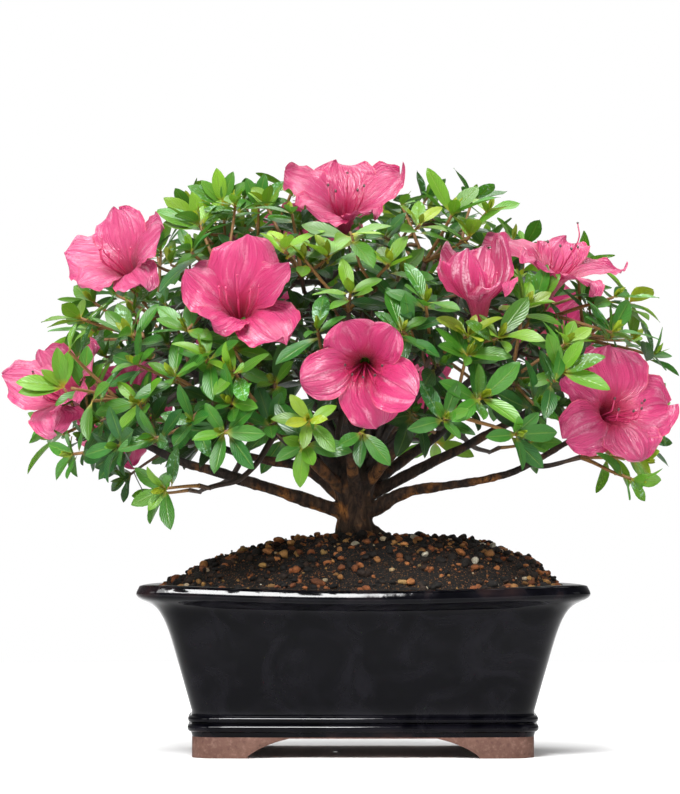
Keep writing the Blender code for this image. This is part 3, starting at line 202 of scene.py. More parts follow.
# Along a root: share of its reach, height over the soil and share of its radius.
ROOT_COURSE = ((0.0, 0.006, 0.9), (0.35, 0.0035, 1.0), (0.7, 0.0008, 0.72), (1.0, -0.0035, 0.35))
ROOT_DROP = 0.9
TRUNK_SWELL = 1.02
LIMB_SLIMNESS = 0.80
WOOD_VOXEL = 0.0008
BARK_DEPTH = 0.00075
# Dark bare branches that fan up from the head of the trunk.
FAN_COUNT = 60

# The crown is a leafy shell about an ellipsoid.
CROWN_CENTRE = Vector((-0.007, 0.0, 0.130))
CROWN_AXES = Vector((0.150, 0.122, 0.142))
CROWN_SQUARENESS = 2.4
# How low and how high a shoot may end at each x.
UNDERSIDE = (
    (-0.160, 0.150), (-0.142, 0.144), (-0.118, 0.136), (-0.098, 0.118), (-0.084, 0.116),
    (-0.070, 0.142), (-0.030, 0.146), (0.030, 0.150), (0.060, 0.144), (0.090, 0.138),
    (0.116, 0.122), (0.128, 0.122), (0.145, 0.150),
)
OVERSIDE = (
    (-0.153, 0.196), (-0.130, 0.212), (-0.105, 0.232), (-0.088, 0.252), (-0.075, 0.262),
    (-0.030, 0.262), (0.010, 0.255), (0.030, 0.258), (0.042, 0.264), (0.060, 0.260),
    (0.075, 0.246), (0.110, 0.238), (0.130, 0.224), (0.142, 0.205),
)
SIDE_LIMITS = (-0.150, 0.138)
# Past this depth, at the front and the back, the top of the crown falls away at this slope.
SLOPE_START = 0.05
DEPTH_SLOPE = 0.4
LEAF_REACH_X = (-0.158, 0.1395)
LEAF_REACH_Y = (-0.1200, 0.1215)
# Shoots that show at the front: x and z as seen from there, and the share of the crown's radius.
FRONT_SHOOTS = (
    (-0.128, 0.199, 0.97), (-0.130, 0.184, 1.00), (-0.103, 0.189, 0.95), (-0.114, 0.208, 0.90),
    (-0.078, 0.191, 0.93), (-0.077, 0.227, 0.97), (-0.074, 0.241, 0.95), (-0.070, 0.257, 0.92),
    (-0.058, 0.250, 0.97), (-0.044, 0.251, 0.92), (-0.032, 0.245, 0.95), (-0.037, 0.221, 0.93),
    (-0.025, 0.219, 0.92), (-0.006, 0.206, 0.97), (-0.016, 0.224, 0.90), (0.011, 0.220, 0.95),
    (0.027, 0.202, 0.97), (0.019, 0.186, 0.97), (-0.020, 0.189, 0.95), (0.046, 0.188, 0.93),
    (0.040, 0.245, 0.95), (0.048, 0.235, 0.92), (0.052, 0.259, 0.92), (0.059, 0.187, 0.95),
    (0.089, 0.185, 0.97), (0.115, 0.210, 0.97), (0.112, 0.192, 0.97), (0.102, 0.229, 0.92),
    (-0.130, 0.166, 1.02), (-0.120, 0.160, 1.00), (-0.130, 0.137, 0.95), (-0.108, 0.140, 0.97),
    (-0.087, 0.121, 0.93), (-0.100, 0.176, 0.93), (-0.099, 0.159, 0.92), (-0.069, 0.179, 0.98),
    (-0.083, 0.170, 0.93), (-0.061, 0.145, 0.97), (-0.075, 0.150, 0.93), (-0.057, 0.172, 0.98),
    (-0.058, 0.158, 0.95), (-0.026, 0.140, 0.95), (-0.024, 0.150, 1.00), (-0.001, 0.145, 0.95),
    (0.035, 0.151, 0.97), (0.045, 0.179, 0.95), (0.051, 0.160, 0.95), (0.066, 0.144, 1.00),
    (0.084, 0.168, 1.00), (0.120, 0.126, 0.97), (0.075, 0.158, 0.92),
)
# The rest of the crown: an even spread of directions, thinned where shoots stand already.
SPREAD_COUNT = 140
SPREAD_LOWEST = -0.10
SPREAD_SHARE = 0.95
SHOOT_SPACING = 0.0260
BUNDLE_REACH = 0.046
SHOOTS_PER_SPRAY = 4
MOST_SPRAYS = 40
FORK_DEPTHS = (0.022, 0.018, 0.026, 0.014, 0.030)
FORK_STRAY = 0.006
FORK_TRIES = 40
TIP_STRAY = 0.0012
TIP_TRIES = 12
STEM_LENGTH = 0.007
# The clear space that each piece needs round its middle line.
TWIG_CLEARANCE = 0.0030
STEM_CLEARANCE = 0.0030
SHOOT_CLEARANCE = 0.0024
WHORL_CLEARANCE = 0.0060
LEAF_CLEARANCE = 0.0038
LEAF_BEAD = 0.0026
PETAL_BEAD = 0.0050
BUD_BEAD = 0.0055
BEAD_SPACING = 0.004
SHOOT_RADIUS = 0.0010
FORK_RADIUS = 0.0017
SHOOT_SIDES = 4

LEAF_LENGTH = (0.0155, 0.0205)
LEAF_TILT = (math.radians(44), math.radians(74))
LEAF_BEND = (-0.22, 0.06)
# Turns of a leaf's tilt and shares of its size, tried in order until the leaf is clear.
LEAF_TRIES = (
    (0, 1), (-0.25, 1), (0.25, 1), (-0.45, 0.95), (0.45, 0.9), (-0.2, 0.7), (0.2, 0.7),
)
LEAF_BEAD_PLACES = (0.42, 0.58, 0.74, 0.92)
WHORL_LEAVES = 3

# Name, mouth centre from the pot's centre, the way it faces, across, turn, lobe spread in degrees.
BLOOMS = (
    ("bloom_top_centre", (-0.008, -0.042, 0.253), (0.04, -0.69, 0.72), 0.056, 23, 70),
    ("bloom_front_centre", (-0.000, -0.108, 0.174), (-0.03, -0.99, -0.16), 0.055, 67, 75),
    ("bloom_front_left", (-0.055, -0.090, 0.204), (-0.02, -0.81, 0.59), 0.060, 81, 72),
    ("bloom_upper_left", (-0.111, -0.036, 0.227), (-0.40, -0.70, 0.59), 0.054, 4, 81),
    ("bloom_low_left", (-0.137, -0.046, 0.167), (-0.57, -0.65, 0.50), 0.058, 351, 70),
    ("bloom_upper_right", (0.089, -0.040, 0.225), (0.32, -0.35, 0.88), 0.064, 61, 85),
    ("bloom_right", (0.115, -0.060, 0.158), (0.45, -0.87, 0.21), 0.057, 37, 95),
    ("bloom_opening", (0.051, -0.086, 0.209), (-0.06, -0.45, 0.89), 0.058, 15, 30),
    ("bloom_back_left", (-0.060, 0.086, 0.214), (-0.40, 0.70, 0.58), 0.055, 10, 88),
    ("bloom_back_centre", (0.022, 0.108, 0.176), (0.10, 0.96, 0.20), 0.056, 50, 95),
    ("bloom_back_right", (0.090, 0.072, 0.204), (0.52, 0.66, 0.52), 0.054, 30, 82),
    ("bloom_back_low_left", (-0.114, 0.060, 0.162), (-0.68, 0.70, 0.20), 0.054, 70, 92),
    ("bloom_top_back", (-0.022, 0.050, 0.249), (-0.10, 0.40, 0.91), 0.054, 45, 80),
)
# The lobes of each flower that don't stand in an even star: turn in degrees, shares of the length
# and the width, further spread in degrees, roundness of the tip, and how far the tip rolls back.
EVEN_LOBE = (0, 1.0, 1.0, 0, 2.4, 0)
LOBE_FORMS = {
    "bloom_top_centre": (
        (0, 1.13, 1.00, 13, 1.5, 0), (-12, 0.87, 1.35, -3, 2.4, 0), (-14, 1.08, 1.10, -1, 2.0, 0),
        (2, 0.90, 0.80, -21, 2.4, 0), (8, 0.99, 1.10, -3, 2.4, 0),
    ),
    "bloom_front_centre": (
        (1, 0.89, 1.05, -3, 2.4, 0), (-14, 0.95, 0.80, -27, 2.4, 0), (-4, 1.20, 1.00, -29, 2.4, 0),
        (-25, 0.96, 1.00, 18, 2.4, 0), (-6, 1.07, 0.92, -9, 2.4, 0),
    ),
    "bloom_front_left": (
        (16, 1.03, 1.20, -12, 2.4, 0), (9, 0.97, 0.95, -9, 1.3, 0), (4, 1.05, 1.20, 11, 2.4, 0),
        (-2, 0.99, 0.90, -1, 2.4, 0), (14, 0.90, 1.15, -12, 2.4, 0),
    ),
    "bloom_upper_left": (
        (-8, 0.98, 1.15, 2, 2.4, 0), (1, 0.97, 1.10, -12, 2.4, 0), (8, 1.06, 1.20, -9, 2.4, 0),
        (2, 0.90, 0.90, 6, 2.4, 0), (7, 0.91, 0.80, 0, 2.0, 0),
    ),
    "bloom_low_left": (
        (8, 1.07, 1.00, -6, 1.8, 0), (-13, 0.79, 1.00, -22, 2.4, 0), (14, 1.11, 0.80, 10, 2.4, 0),
        (3, 1.02, 0.90, 7, 2.4, 0), (-30, 0.79, 1.15, 8, 2.4, 0),
    ),
    "bloom_upper_right": (
        (-6, 1.08, 1.05, 14, 2.4, 0), (5, 0.82, 0.80, -20, 2.4, 0), (-13, 1.11, 0.80, 3, 1.6, 0),
        (3, 0.82, 0.95, 18, 2.4, 0), (-12, 0.85, 0.80, 8, 2.4, 0),
    ),
    "bloom_right": (
        (1, 0.86, 0.90, 19, 2.4, 0), (-18, 0.97, 1.20, 11, 2.4, 0), (-7, 0.97, 1.15, -6, 2.4, 0),
        (3, 0.87, 1.20, -6, 2.4, 0), (8, 1.07, 1.00, 1, 2.4, 0),
    ),
    "bloom_opening": (
        (0, 1.00, 1.60, 0, 2.4, 0), (10, 0.95, 1.50, 4, 2.4, 20), (-8, 1.05, 1.60, -4, 2.4, -25),
        (6, 0.90, 1.50, 6, 2.4, 30), (-5, 1.00, 1.60, 0, 2.4, -20),
    ),
}
BUDS = (
    ("bud_left", (-0.0590, -0.047, 0.232), (-0.20, -0.40, 0.88), 0.015),
    ("bud_right", (0.052, 0.074, 0.236), (0.25, 0.35, 0.90), 0.019),
)
LOBES = 5
LOBE_STEPS = 24
LOBE_ANGLE = math.radians(36)
COROLLA_LENGTH = 0.78
TUBE_ANGLE = math.radians(9)
NOTCH_AT = 0.44
LOBE_HALF_WIDTH = 0.235
# Along and side of the points of a lobe that stand for it when leaves are placed.
LOBE_SPOTS = (
    (0.5, 0), (0.66, -0.6), (0.66, 0.6), (0.66, 0), (0.82, -0.62), (0.82, 0.62), (0.82, 0), (0.97, 0),
)
MOUTH_DEPTH = 0.40
TUBE_FOOT = 0.032
LOBE_UNEVEN = 12
CURL_BELOW = 45
CURL_RATE = 3.4
PLEAT = 0.020
RUFFLE = 0.050
LAP = 0.030
PEDICEL_LENGTH = 0.010
PEDICEL_RADIUS = 0.0011
# Where a fine petal has its rows past the notch, and how many points each row has.
PETAL_ROWS = np.array((
    0.05, 0.11, 0.18, 0.25, 0.32, 0.39, 0.46, 0.53, 0.60, 0.67, 0.74, 0.80, 0.85, 0.90, 0.94, 0.97,
    0.988, 0.998,
))
PETAL_COLUMNS = 15

# The studio. Camera places are from the pot's centre.
CAMERA_PLACE = (-0.0105, -1.5, 0.090)
CAMERA_AIM = (-0.0105, 0.0, 0.1662)
SENSOR_HEIGHT = 36.0
LENS = 144.7
FLOOR_COLOUR = (0.93, 0.93, 0.93)
FLOOR_GRAIN = 40.0
FLOOR_RADIUS = 1.3
BACKDROP_RADIUS = 8.0
WORLD_STRENGTH = 0.42
# A tall soft box that is seen only as a reflection: place, size and power.
SHINE = ((-0.11, -0.92, 1.02), (0.30, 0.46), 36.0)
# The other soft boxes: name, place, size and power.
LAMPS = (
    ("key", (-0.25, -1.00, 1.02), (0.50, 0.50), 25.0),
    ("side", (-1.0, -0.9, 0.9), (0.6, 0.6), 8.0),
    ("fill", (1.3, -0.9, 0.7), (0.9, 0.9), 4.0),
    ("top", (0.1, 0.1, 1.6), (0.8, 0.8), 20.0),
    ("back", (0.0, 1.0, 1.6), (1.6, 0.6), 18.0),
)
LAMP_AIM = (0, 0, 0.16)

# The layout of the tree. Everything in it is worked out from the values above and one seed.


def clamp(share):
    """A share, held between 0 and 1."""
    return min(1.0, max(0.0, share))


def square_axes(axis):
    """Two unit axes square to this one: the first level, the second as high as it can be."""
    level = axis.cross(UP)
    if level.length < 0.05:
        level = Vector((1, 0, 0))
    level.normalize()
    return level, level.cross(axis).normalized()


def smooth_path(points, steps):
    """Catmull-Rom points through these, with this many steps between each two."""
    rows = [np.array(p, float) for p in points]
    rows = [2 * rows[0] - rows[1], *rows, 2 * rows[-1] - rows[-2]]
    found = []
    for a, b, c, d in zip(rows, rows[1:], rows[2:], rows[3:]):
        for step in range(steps):
            t = step / steps
            square, cube = 2 * a - 5 * b + 4 * c - d, 3 * b - a - 3 * c + d
            found.append(0.5 * (2 * b + (c - a) * t + square * t**2 + cube * t**3))
    return [*found, rows[-2]]


def limb_points(name):
    """A limb's points with radii that fall from root to tip, in the object's frame."""
    points = LIMBS[name]
    root = LOW_LIMB_ROOT_RADIUS if name.startswith("low") else LIMB_ROOT_RADIUS
    last = len(points) - 1
    return [
        (*(Vector(p) + POT_CENTRE), root + (LIMB_TIP_RADIUS - root) * (n / last) ** 0.75)
        for n, p in enumerate(points)
    ]


def trunk_points(swell=1.0):
    """The trunk's points with their radii, in the object's frame."""
    return [(*(Vector(p[:3]) + POT_CENTRE), p[3] * swell) for p in TRUNK]


class Beads:
    """Spheres that stand for what is already in place, each with the name of what it belongs to."""

    def __init__(self):
        self.rows, self.names = [], []

    def add(self, points, radius, name):
        self.rows += [(*p, radius) for p in points]
        self.names += [name] * len(points)

    def clear(self, points, radius, ignore):
        """True if spheres here would touch nothing but what has an ignored name's start."""
        rows = np.array([row for row, name in zip(self.rows, self.names) if not name.startswith(ignore)])
        for point in points:
            away = np.linalg.norm(rows[:, :3] - np.array(point), axis=1) - rows[:, 3]
            if len(away) and away.min() < radius:
                return False
        return True


def lobe_path(across, spread, lobe, roll=0.0):
    """Radius and height from the flower's base to a lobe's tip, as a curve that turns outward.

    The lobes of a flower that is still half open turn in again towards their tips.
    """
    turn = math.radians(spread + LOBE_UNEVEN * math.sin(2.3 * lobe + spread))
    curl = math.radians(max(0.0, CURL_BELOW - spread) * CURL_RATE)
    length = COROLLA_LENGTH * across
    radius, height, rows = TUBE_FOOT * across, 0.0, [(TUBE_FOOT * across, 0.0)]
    for step in range(LOBE_STEPS):
        t = (step + 0.5) / LOBE_STEPS
        ease = clamp((t - 0.15) / 0.75)
        late = max(0.0, (t - 0.5) / 0.5)
        opening = (turn + 0.4 * curl - TUBE_ANGLE) * ease * ease * (3 - 2 * ease)
        angle = TUBE_ANGLE + opening - (curl - math.radians(roll)) * late
        radius += math.sin(angle) * length / LOBE_STEPS
        height += math.cos(angle) * length / LOBE_STEPS
        rows.append((radius, height))
    return np.array(rows)


def lobe_half_width(wide, notch_radius, roundness, u):
    """Half a lobe's width at u, from 0 at the notch to 1 at the tip."""
    narrow = notch_radius * math.sin(LOBE_ANGLE)
    if u < 0.5:
        return narrow + (wide - narrow) * math.sin(u * math.pi)
    return wide * math.sqrt(max(0.0, 1 - ((u - 0.5) / 0.5) ** roundness))


def lobe_relief(lobe, u, side):
    """How far a lobe's surface stands up at a point, as a share of the flower's width."""
    arch = math.sin(math.pi * u)
    pleats = -math.exp(-((side / 0.16) ** 2)) - 0.45 * math.cos(3 * math.pi * side)
    ruffle = u**1.5 * side**2 * math.sin(8.2 * u + 2.5 * lobe + (2.0 if side < 0 else 0.0))
    tip = u**4 * math.cos(3 * side + 1.7 * lobe)
    return PLEAT * arch * pleats + RUFFLE * (ruffle + 0.7 * tip) + LAP * side * u


def corolla_point(bloom, lobe, along, side):
    """A point of a bloom's petal: along from 0 at the base to 1 at the tip, side from -1 to 1."""
    name, _, _, across, turn, spread = bloom
    forms = LOBE_FORMS.get(name, (EVEN_LOBE,) * LOBES)
    lobe_turn, longer, wider, further, roundness, roll = forms[lobe]
    base, axis = bloom_base(bloom)
    level, high = square_axes(axis)
    u = max(0.0, (along - NOTCH_AT) / (1 - NOTCH_AT))
    # All lobes share one tube up to the notch between them, and each then follows its own path.
    shared = lobe_path(across, spread, 0.0)
    at = np.linspace(0.0, 1.0, len(shared))
    notch_radius, notch_height = (float(np.interp(NOTCH_AT, at, shared[:, n])) for n in (0, 1))
    if along <= NOTCH_AT:
        radius, height = (float(np.interp(along, at, shared[:, n])) for n in (0, 1))
        out = radius * math.cos(LOBE_ANGLE * side)
        aside = radius * math.sin(LOBE_ANGLE * side)
    else:
        own = lobe_path(across, spread + further, lobe + 1.0, roll)
        gained = [longer * (np.interp(along, at, line) - np.interp(NOTCH_AT, at, line)) for line in own.T]
        wide = wider * LOBE_HALF_WIDTH * across * min(1.0, 0.35 + 0.65 * spread / 80)
        out = notch_radius + float(gained[0]) - (1 - math.cos(LOBE_ANGLE * side)) * notch_radius * (1 - u)
        aside = side * lobe_half_width(wide, notch_radius, roundness, u)
        height = notch_height + float(gained[1]) + across * lobe_relief(lobe, u, side)
    angle = math.radians(turn + lobe_turn * min(1.0, 1.6 * u)) + lobe * math.tau / LOBES
    radial = level * math.cos(angle) + high * math.sin(angle)
    around = high * math.cos(angle) - level * math.sin(angle)
    return base + radial * out + around * aside + axis * height


def bloom_base(bloom):
    """Where a bloom's tube starts, and the way that it faces."""
    _, mouth, faces, across, _, _ = bloom
    axis = Vector(faces).normalized()
    return POT_CENTRE + Vector(mouth) - axis * MOUTH_DEPTH * across, axis


def bloom_root(bloom):
    """The foot of a bloom's stalk, and the way the stalk runs there."""
    base, axis = bloom_base(bloom)
    return base - axis * PEDICEL_LENGTH, axis


def bud_root(bud):
    """The foot of a bud's stalk, and the way the stalk runs there."""
    _, place, faces, length = bud
    axis = Vector(faces).normalized()
    return POT_CENTRE + Vector(place) - axis * (PEDICEL_LENGTH + length / 2), axis


def crown_point(way, share):
    """A point of the crown along a direction, at a share of its uneven ellipsoid's radius."""
    around = math.atan2(way.y, way.x)
    uneven = 1 + 0.035 * math.sin(3 * around + 1.1) + 0.03 * math.sin(5 * around + 4 * way.z)
    square = sum(abs(part) ** CROWN_SQUARENESS for part in way) ** (1 / CROWN_SQUARENESS)
    reach = Vector(a * b for a, b in zip(way, CROWN_AXES)) / square
    return POT_CENTRE + CROWN_CENTRE + reach * share * uneven


def outward_at(place):
    """The way out of the crown's middle at a place."""
    return (place - POT_CENTRE - CROWN_CENTRE).normalized()


def front_place(x, z, share):
    """The place on the crown's front that is seen at x and z."""
    across = abs((x - CROWN_CENTRE.x) / CROWN_AXES.x) ** CROWN_SQUARENESS
    upward = abs((z - CROWN_CENTRE.z) / CROWN_AXES.z) ** CROWN_SQUARENESS
    left = max(0.0, share**CROWN_SQUARENESS - across - upward)
    return POT_CENTRE + Vector((x, -CROWN_AXES.y * left ** (1 / CROWN_SQUARENESS), z))


def in_crown(place):
    """True where a shoot may end: the crown hangs at its ends and is clear above the trunk."""
    low = np.interp(place.x, *zip(*UNDERSIDE))
    high = np.interp(place.x, *zip(*OVERSIDE)) - DEPTH_SLOPE * max(0.0, abs(place.y) - SLOPE_START)
    return bool(low < place.z < high) and SIDE_LIMITS[0] < place.x < SIDE_LIMITS[1]


def within_reach(point):
    """True if a leaf's tip stays inside the crown's outermost reach."""
    place = point - POT_CENTRE
    return LEAF_REACH_X[0] < place.x < LEAF_REACH_X[1] and LEAF_REACH_Y[0] < place.y < LEAF_REACH_Y[1]


def shoot_ends():
    """Where shoots end, each with its row in FRONT_SHOOTS if it has one."""
    found = [(front_place(*row), n) for n, row in enumerate(FRONT_SHOOTS)]
    for n in range(SPREAD_COUNT):
        sine = SPREAD_LOWEST + (1 - SPREAD_LOWEST) * (n + 0.5) / SPREAD_COUNT
        around = n * math.pi * (3 - math.sqrt(5)) + 0.4
        cosine = math.sqrt(1 - sine * sine)
        way = Vector((cosine * math.cos(around), cosine * math.sin(around), sine))
        place = crown_point(way, SPREAD_SHARE)
        spacing = min((place - other).length for other, _ in found)
        if in_crown(place - POT_CENTRE) and spacing > SHOOT_SPACING:
            found.append((place, None))
    return found


def bundles(ends):
    """Neighbouring shoots, as many as a spray has at most, that grow from one fork."""
    left, found = list(ends), []
    while left:
        # The shoot that is farthest from the crown's middle has the fewest neighbours, so it goes first.
        first = max(left, key=lambda end: (end[0] - POT_CENTRE - CROWN_CENTRE).length)
        near = [end for end in left if (end[0] - first[0]).length < BUNDLE_REACH]
        near.sort(key=lambda end: (end[0] - first[0]).length)
        found.append(near[:SHOOTS_PER_SPRAY])
        left = [end for end in left if end not in found[-1]]
    return found


def side_branch(start_rows, target, arrive):
    """A twig from the best place on the limbs to a target, as points with radii.

    The best place is near, and the limb there already runs towards the target. The twig's end runs
    the way that its spray or flower goes on, so that their flat ends face each other.
    """
    best = None
    best = None
    for point, tangent in start_rows:
        reach = target - point
        if reach.length < SHORTEST_TWIG:
            continue
        cost = reach.length * (1 + TURN_COST * (1 - reach.normalized().dot(tangent)))
        if best is None or cost < best[0]:
            best = (cost, point)
    point = best[1]
    bend = target - arrive * (target - point).length * TWIG_END_SHARE
    middle_radius = (SIDE_BRANCH_ROOT_RADIUS + SIDE_BRANCH_TIP_RADIUS) / 2
    return [(*point, SIDE_BRANCH_ROOT_RADIUS), (*bend, middle_radius), (*target, SIDE_BRANCH_TIP_RADIUS)]


def limb_rows():
    """Places along the limbs and the upper trunk where a twig may start, with the way they run."""
    paths = [limb_points(name) for name in LIMBS]
    paths.append(trunk_points()[5:])
    found = []
    for path in paths:
        points = [Vector(p[:3]) for p in smooth_path(path, 4)]
        for before, here, after in zip(points[1:], points[2:], points[3:]):
            found.append((here, (after - before).normalized()))
        found.append((points[-1], (points[-1] - points[-2]).normalized()))
    return found


def path_beads(rows, spacing=BEAD_SPACING):
    """Points along a path of x, y, z and radius, close enough together to stand for it."""
    found = []
    for a, b in zip(rows, rows[1:]):
        a, b = Vector(a[:3]), Vector(b[:3])
        count = max(1, math.ceil((b - a).length / spacing))
        found += [a.lerp(b, n / count) for n in range(count)]
    return [*found, Vector(rows[-1][:3])]


def leaf_frame(axis, phase, side, tilt):
    """The way a leaf runs, its own sideways axis and its upper face's normal."""
    level, high = square_axes(axis)
    angle = phase + side * math.tau / SHOOT_SIDES
    out = level * math.cos(angle) + high * math.sin(angle)
    around = axis.cross(out).normalized()
    along = axis * math.cos(tilt) + out * math.sin(tilt)
    face = axis * math.sin(tilt) - out * math.cos(tilt)
    return along, around, face


def leaf_point(root, along, face, length, bend, t):
    """A point of a leaf's midrib, which curves up or down from its root."""
    return root + along * length * t + face * length * bend * t * t


def shoot_axis(place):
    """The way that a shoot's tip points: out of the crown, and up but for the lowest shoots."""
    lift = min(0.55, max(-0.15, (place.z - 0.145) * 12))
    return (outward_at(place) + UP * lift).normalized()


def grow(beads, branches):
    """The sprays: each a stem with shoots, and each shoot with the leaves of its whorl."""
    draw = random.Random(SEED)
    sprays = []
    for number, (ends, fork, root, arrive, twig) in enumerate(branches):
        name = f"spray_{number + 1:02d}"
        ignore = (name, f"to_{name}")
        shoots = []
        for n, (place, row) in enumerate(ends):
            for attempt in range(TIP_TRIES):
                stray = TIP_STRAY * attempt
                tip = place + Vector([draw.uniform(-stray, stray) for _ in range(3)])
                axis = shoot_axis(tip)
                line = path_beads([fork.lerp(tip, 0.3), tip])
                ahead = [tip + axis * STEM_LENGTH / 2]
                if not beads.clear(line, SHOOT_CLEARANCE, ignore):
                    continue
                if beads.clear(ahead, WHORL_CLEARANCE, ignore):
                    break
            else:
                continue
            beads.add(path_beads([(*fork.lerp(tip, 0.3), 0), (*tip, 0)]), SHOOT_RADIUS, name)
            shoots.append({
                "key": f"{name}_{n}", "row": row, "fork": fork, "tip": tip, "axis": axis,
                "phase": draw.uniform(0, math.tau), "length": draw.uniform(*LEAF_LENGTH),
            })
        sprays.append({"root": root, "arrive": arrive, "twig": twig, "fork": fork, "shoots": shoots})
    for spray in sprays:
        for shoot in spray["shoots"]:
            shoot["leaves"] = grow_leaves(beads, shoot, draw)
    return sprays


def grow_leaves(beads, shoot, draw):
    """The leaves of one whorl, each tilted clear of what is already there, or left out."""
    leaves = []
    for side in draw.sample(range(SHOOT_SIDES), WHORL_LEAVES):
        tilt = draw.uniform(*LEAF_TILT)
        length = shoot["length"] * draw.uniform(0.85, 1.12)
        bend = draw.uniform(*LEAF_BEND)
        for turn, size in LEAF_TRIES:
            along, _, face = leaf_frame(shoot["axis"], shoot["phase"], side, tilt + turn)
            root = shoot["tip"]
            line = [leaf_point(root, along, face, length * size, bend, t) for t in LEAF_BEAD_PLACES]
            if within_reach(line[-1]) and beads.clear(line, LEAF_CLEARANCE, shoot["key"]):
                beads.add(line, LEAF_BEAD, shoot["key"])
                leaves.append((side, tilt + turn, length * size, bend))
                break
    return leaves


def flower_beads(beads):
    """Adds the flowers and buds to the beads."""
    for bloom in BLOOMS:
        for lobe in range(LOBES):
            beads.add([corolla_point(bloom, lobe, *spot) for spot in LOBE_SPOTS], PETAL_BEAD, bloom[0])
        base, axis = bloom_base(bloom)
        beads.add([base + axis * bloom[3] * s for s in (0.0, 0.1, 0.2, 0.3)], PETAL_BEAD, bloom[0])
        beads.add([base - axis * PEDICEL_LENGTH * s for s in (0.5, 1.0)], PEDICEL_RADIUS, bloom[0])
    for bud in BUDS:
        place, axis = POT_CENTRE + Vector(bud[1]), Vector(bud[2]).normalized()
        beads.add([place + axis * bud[3] * s for s in (-0.4, -0.2, 0.0, 0.2, 0.4)], BUD_BEAD, bud[0])


def tree_layout():
    """Everything that grows: side branches to each spray, bloom and bud, and the sprays themselves."""
    rows = limb_rows()
    beads = Beads()
    flower_beads(beads)
    for path in [trunk_points()[2:], *(limb_points(name) for name in LIMBS)]:
        beads.add(path_beads(path), LIMB_ROOT_RADIUS, "wood")
    twigs = [side_branch(rows, *bloom_root(bloom)) for bloom in BLOOMS]
    twigs += [side_branch(rows, *bud_root(bud)) for bud in BUDS]
    for twig in twigs:
        beads.add(path_beads(twig), SIDE_BRANCH_ROOT_RADIUS, "wood")
    branches = []
    draw = random.Random(SEED)
    for ends in bundles(shoot_ends()):
        name = f"spray_{len(branches) + 1:02d}"
        middle = sum((place for place, _ in ends), Vector()) / len(ends)
        outward = outward_at(middle)
        for attempt in range(FORK_TRIES):
            stray = FORK_STRAY * attempt / FORK_TRIES * 2
            fork = middle - outward * FORK_DEPTHS[attempt % len(FORK_DEPTHS)]
            fork += Vector([draw.uniform(-stray, stray) for _ in range(3)])
            arrive = (outward + UP * 0.2).normalized()
            root = fork - arrive * STEM_LENGTH
            twig = side_branch(rows, root, arrive)
            stem, line = path_beads([root, fork]), path_beads(twig)
            if not beads.clear(stem, STEM_CLEARANCE, "none"):
                continue
            if beads.clear(line, TWIG_CLEARANCE, ("wood", "to")):
                branches.append((ends, fork, root, arrive, twig))
                beads.add(line[:-1], SIDE_BRANCH_ROOT_RADIUS, f"to_{name}")
                beads.add(stem, FORK_RADIUS, name)
                break
    sprays = [spray for spray in grow(beads, branches[:MOST_SPRAYS]) if spray["shoots"]]
    return twigs + [spray["twig"] for spray in sprays], sprays


# What the looks add to the layout.

TINT = "tint"
LEAF_ALONG = (0.0, 0.07, 0.16, 0.30, 0.45, 0.60, 0.75, 0.88, 0.96, 1.0)
LEAF_WIDTHS = (0.10, 0.13, 0.42, 0.76, 0.94, 1.00, 0.86, 0.55, 0.24, 0.02)
LEAF_SIDES = (-1.0, -0.5, 0.0, 0.5, 1.0)
GOLDEN_ANGLE = math.pi * (3 - math.sqrt(5))
LEAF_GROWN = 1.10
LEAF_HALF = 0.20
# Shares of the crown's radius from and to, spacing and count of the whorls in each shell.
SHELLS = (
    (0.46, 0.60, 0.021, 60), (0.62, 0.76, 0.020, 110), (0.80, 0.90, 0.0195, 150),
    (0.92, 0.99, 0.0185, 150),
)
# The ages that the shells' whorls draw from, and the age that the deepest lean towards, which darkens them
# partly as old leaves and partly as painted shade.
SHELL_AGES = (0.10, 0.22, 0.38, 0.55, 0.72)
DEEP_AGE_AND_SHADE = 0.85
SHELL_TRIES = 8
# Clear space round a further whorl's middle and its twig.
WHORL_ROOM = 0.006
TWIG_ROOM = 0.001
# Between these heights the further whorls grow from none to their full number.
SHELL_RISE = (0.128, 0.185)
# How many leaves a whorl may have, and the ages of shoots that aren't seen at the front.
WHORL_COUNTS = (6, 7, 8)
SHOOT_AGES = (0.12, 0.25, 0.40, 0.60)
# The age of each shoot at the front, from 0 for young yellow-green to 1 for old and dark.
FRONT_AGES = (
    0.25, 0.35, 0.40, 0.35, 0.40, 0.65, 0.30, 0.25, 0.20, 0.20, 0.35, 0.12, 0.20, 0.25, 0.20, 0.18, 0.45,
    0.45, 0.50, 0.0, 0.35, 0.20, 0.60, 0.25, 0.25, 0.45, 0.50, 0.45, 0.25, 0.35, 0.50, 0.75, 0.35, 0.50,
    0.35, 0.35, 0.50, 0.50, 0.55, 0.25, 0.45, 0.40, 0.12, 0.45, 0.50, 0.45, 0.40, 0.50, 0.55, 0.35, 0.60,
)
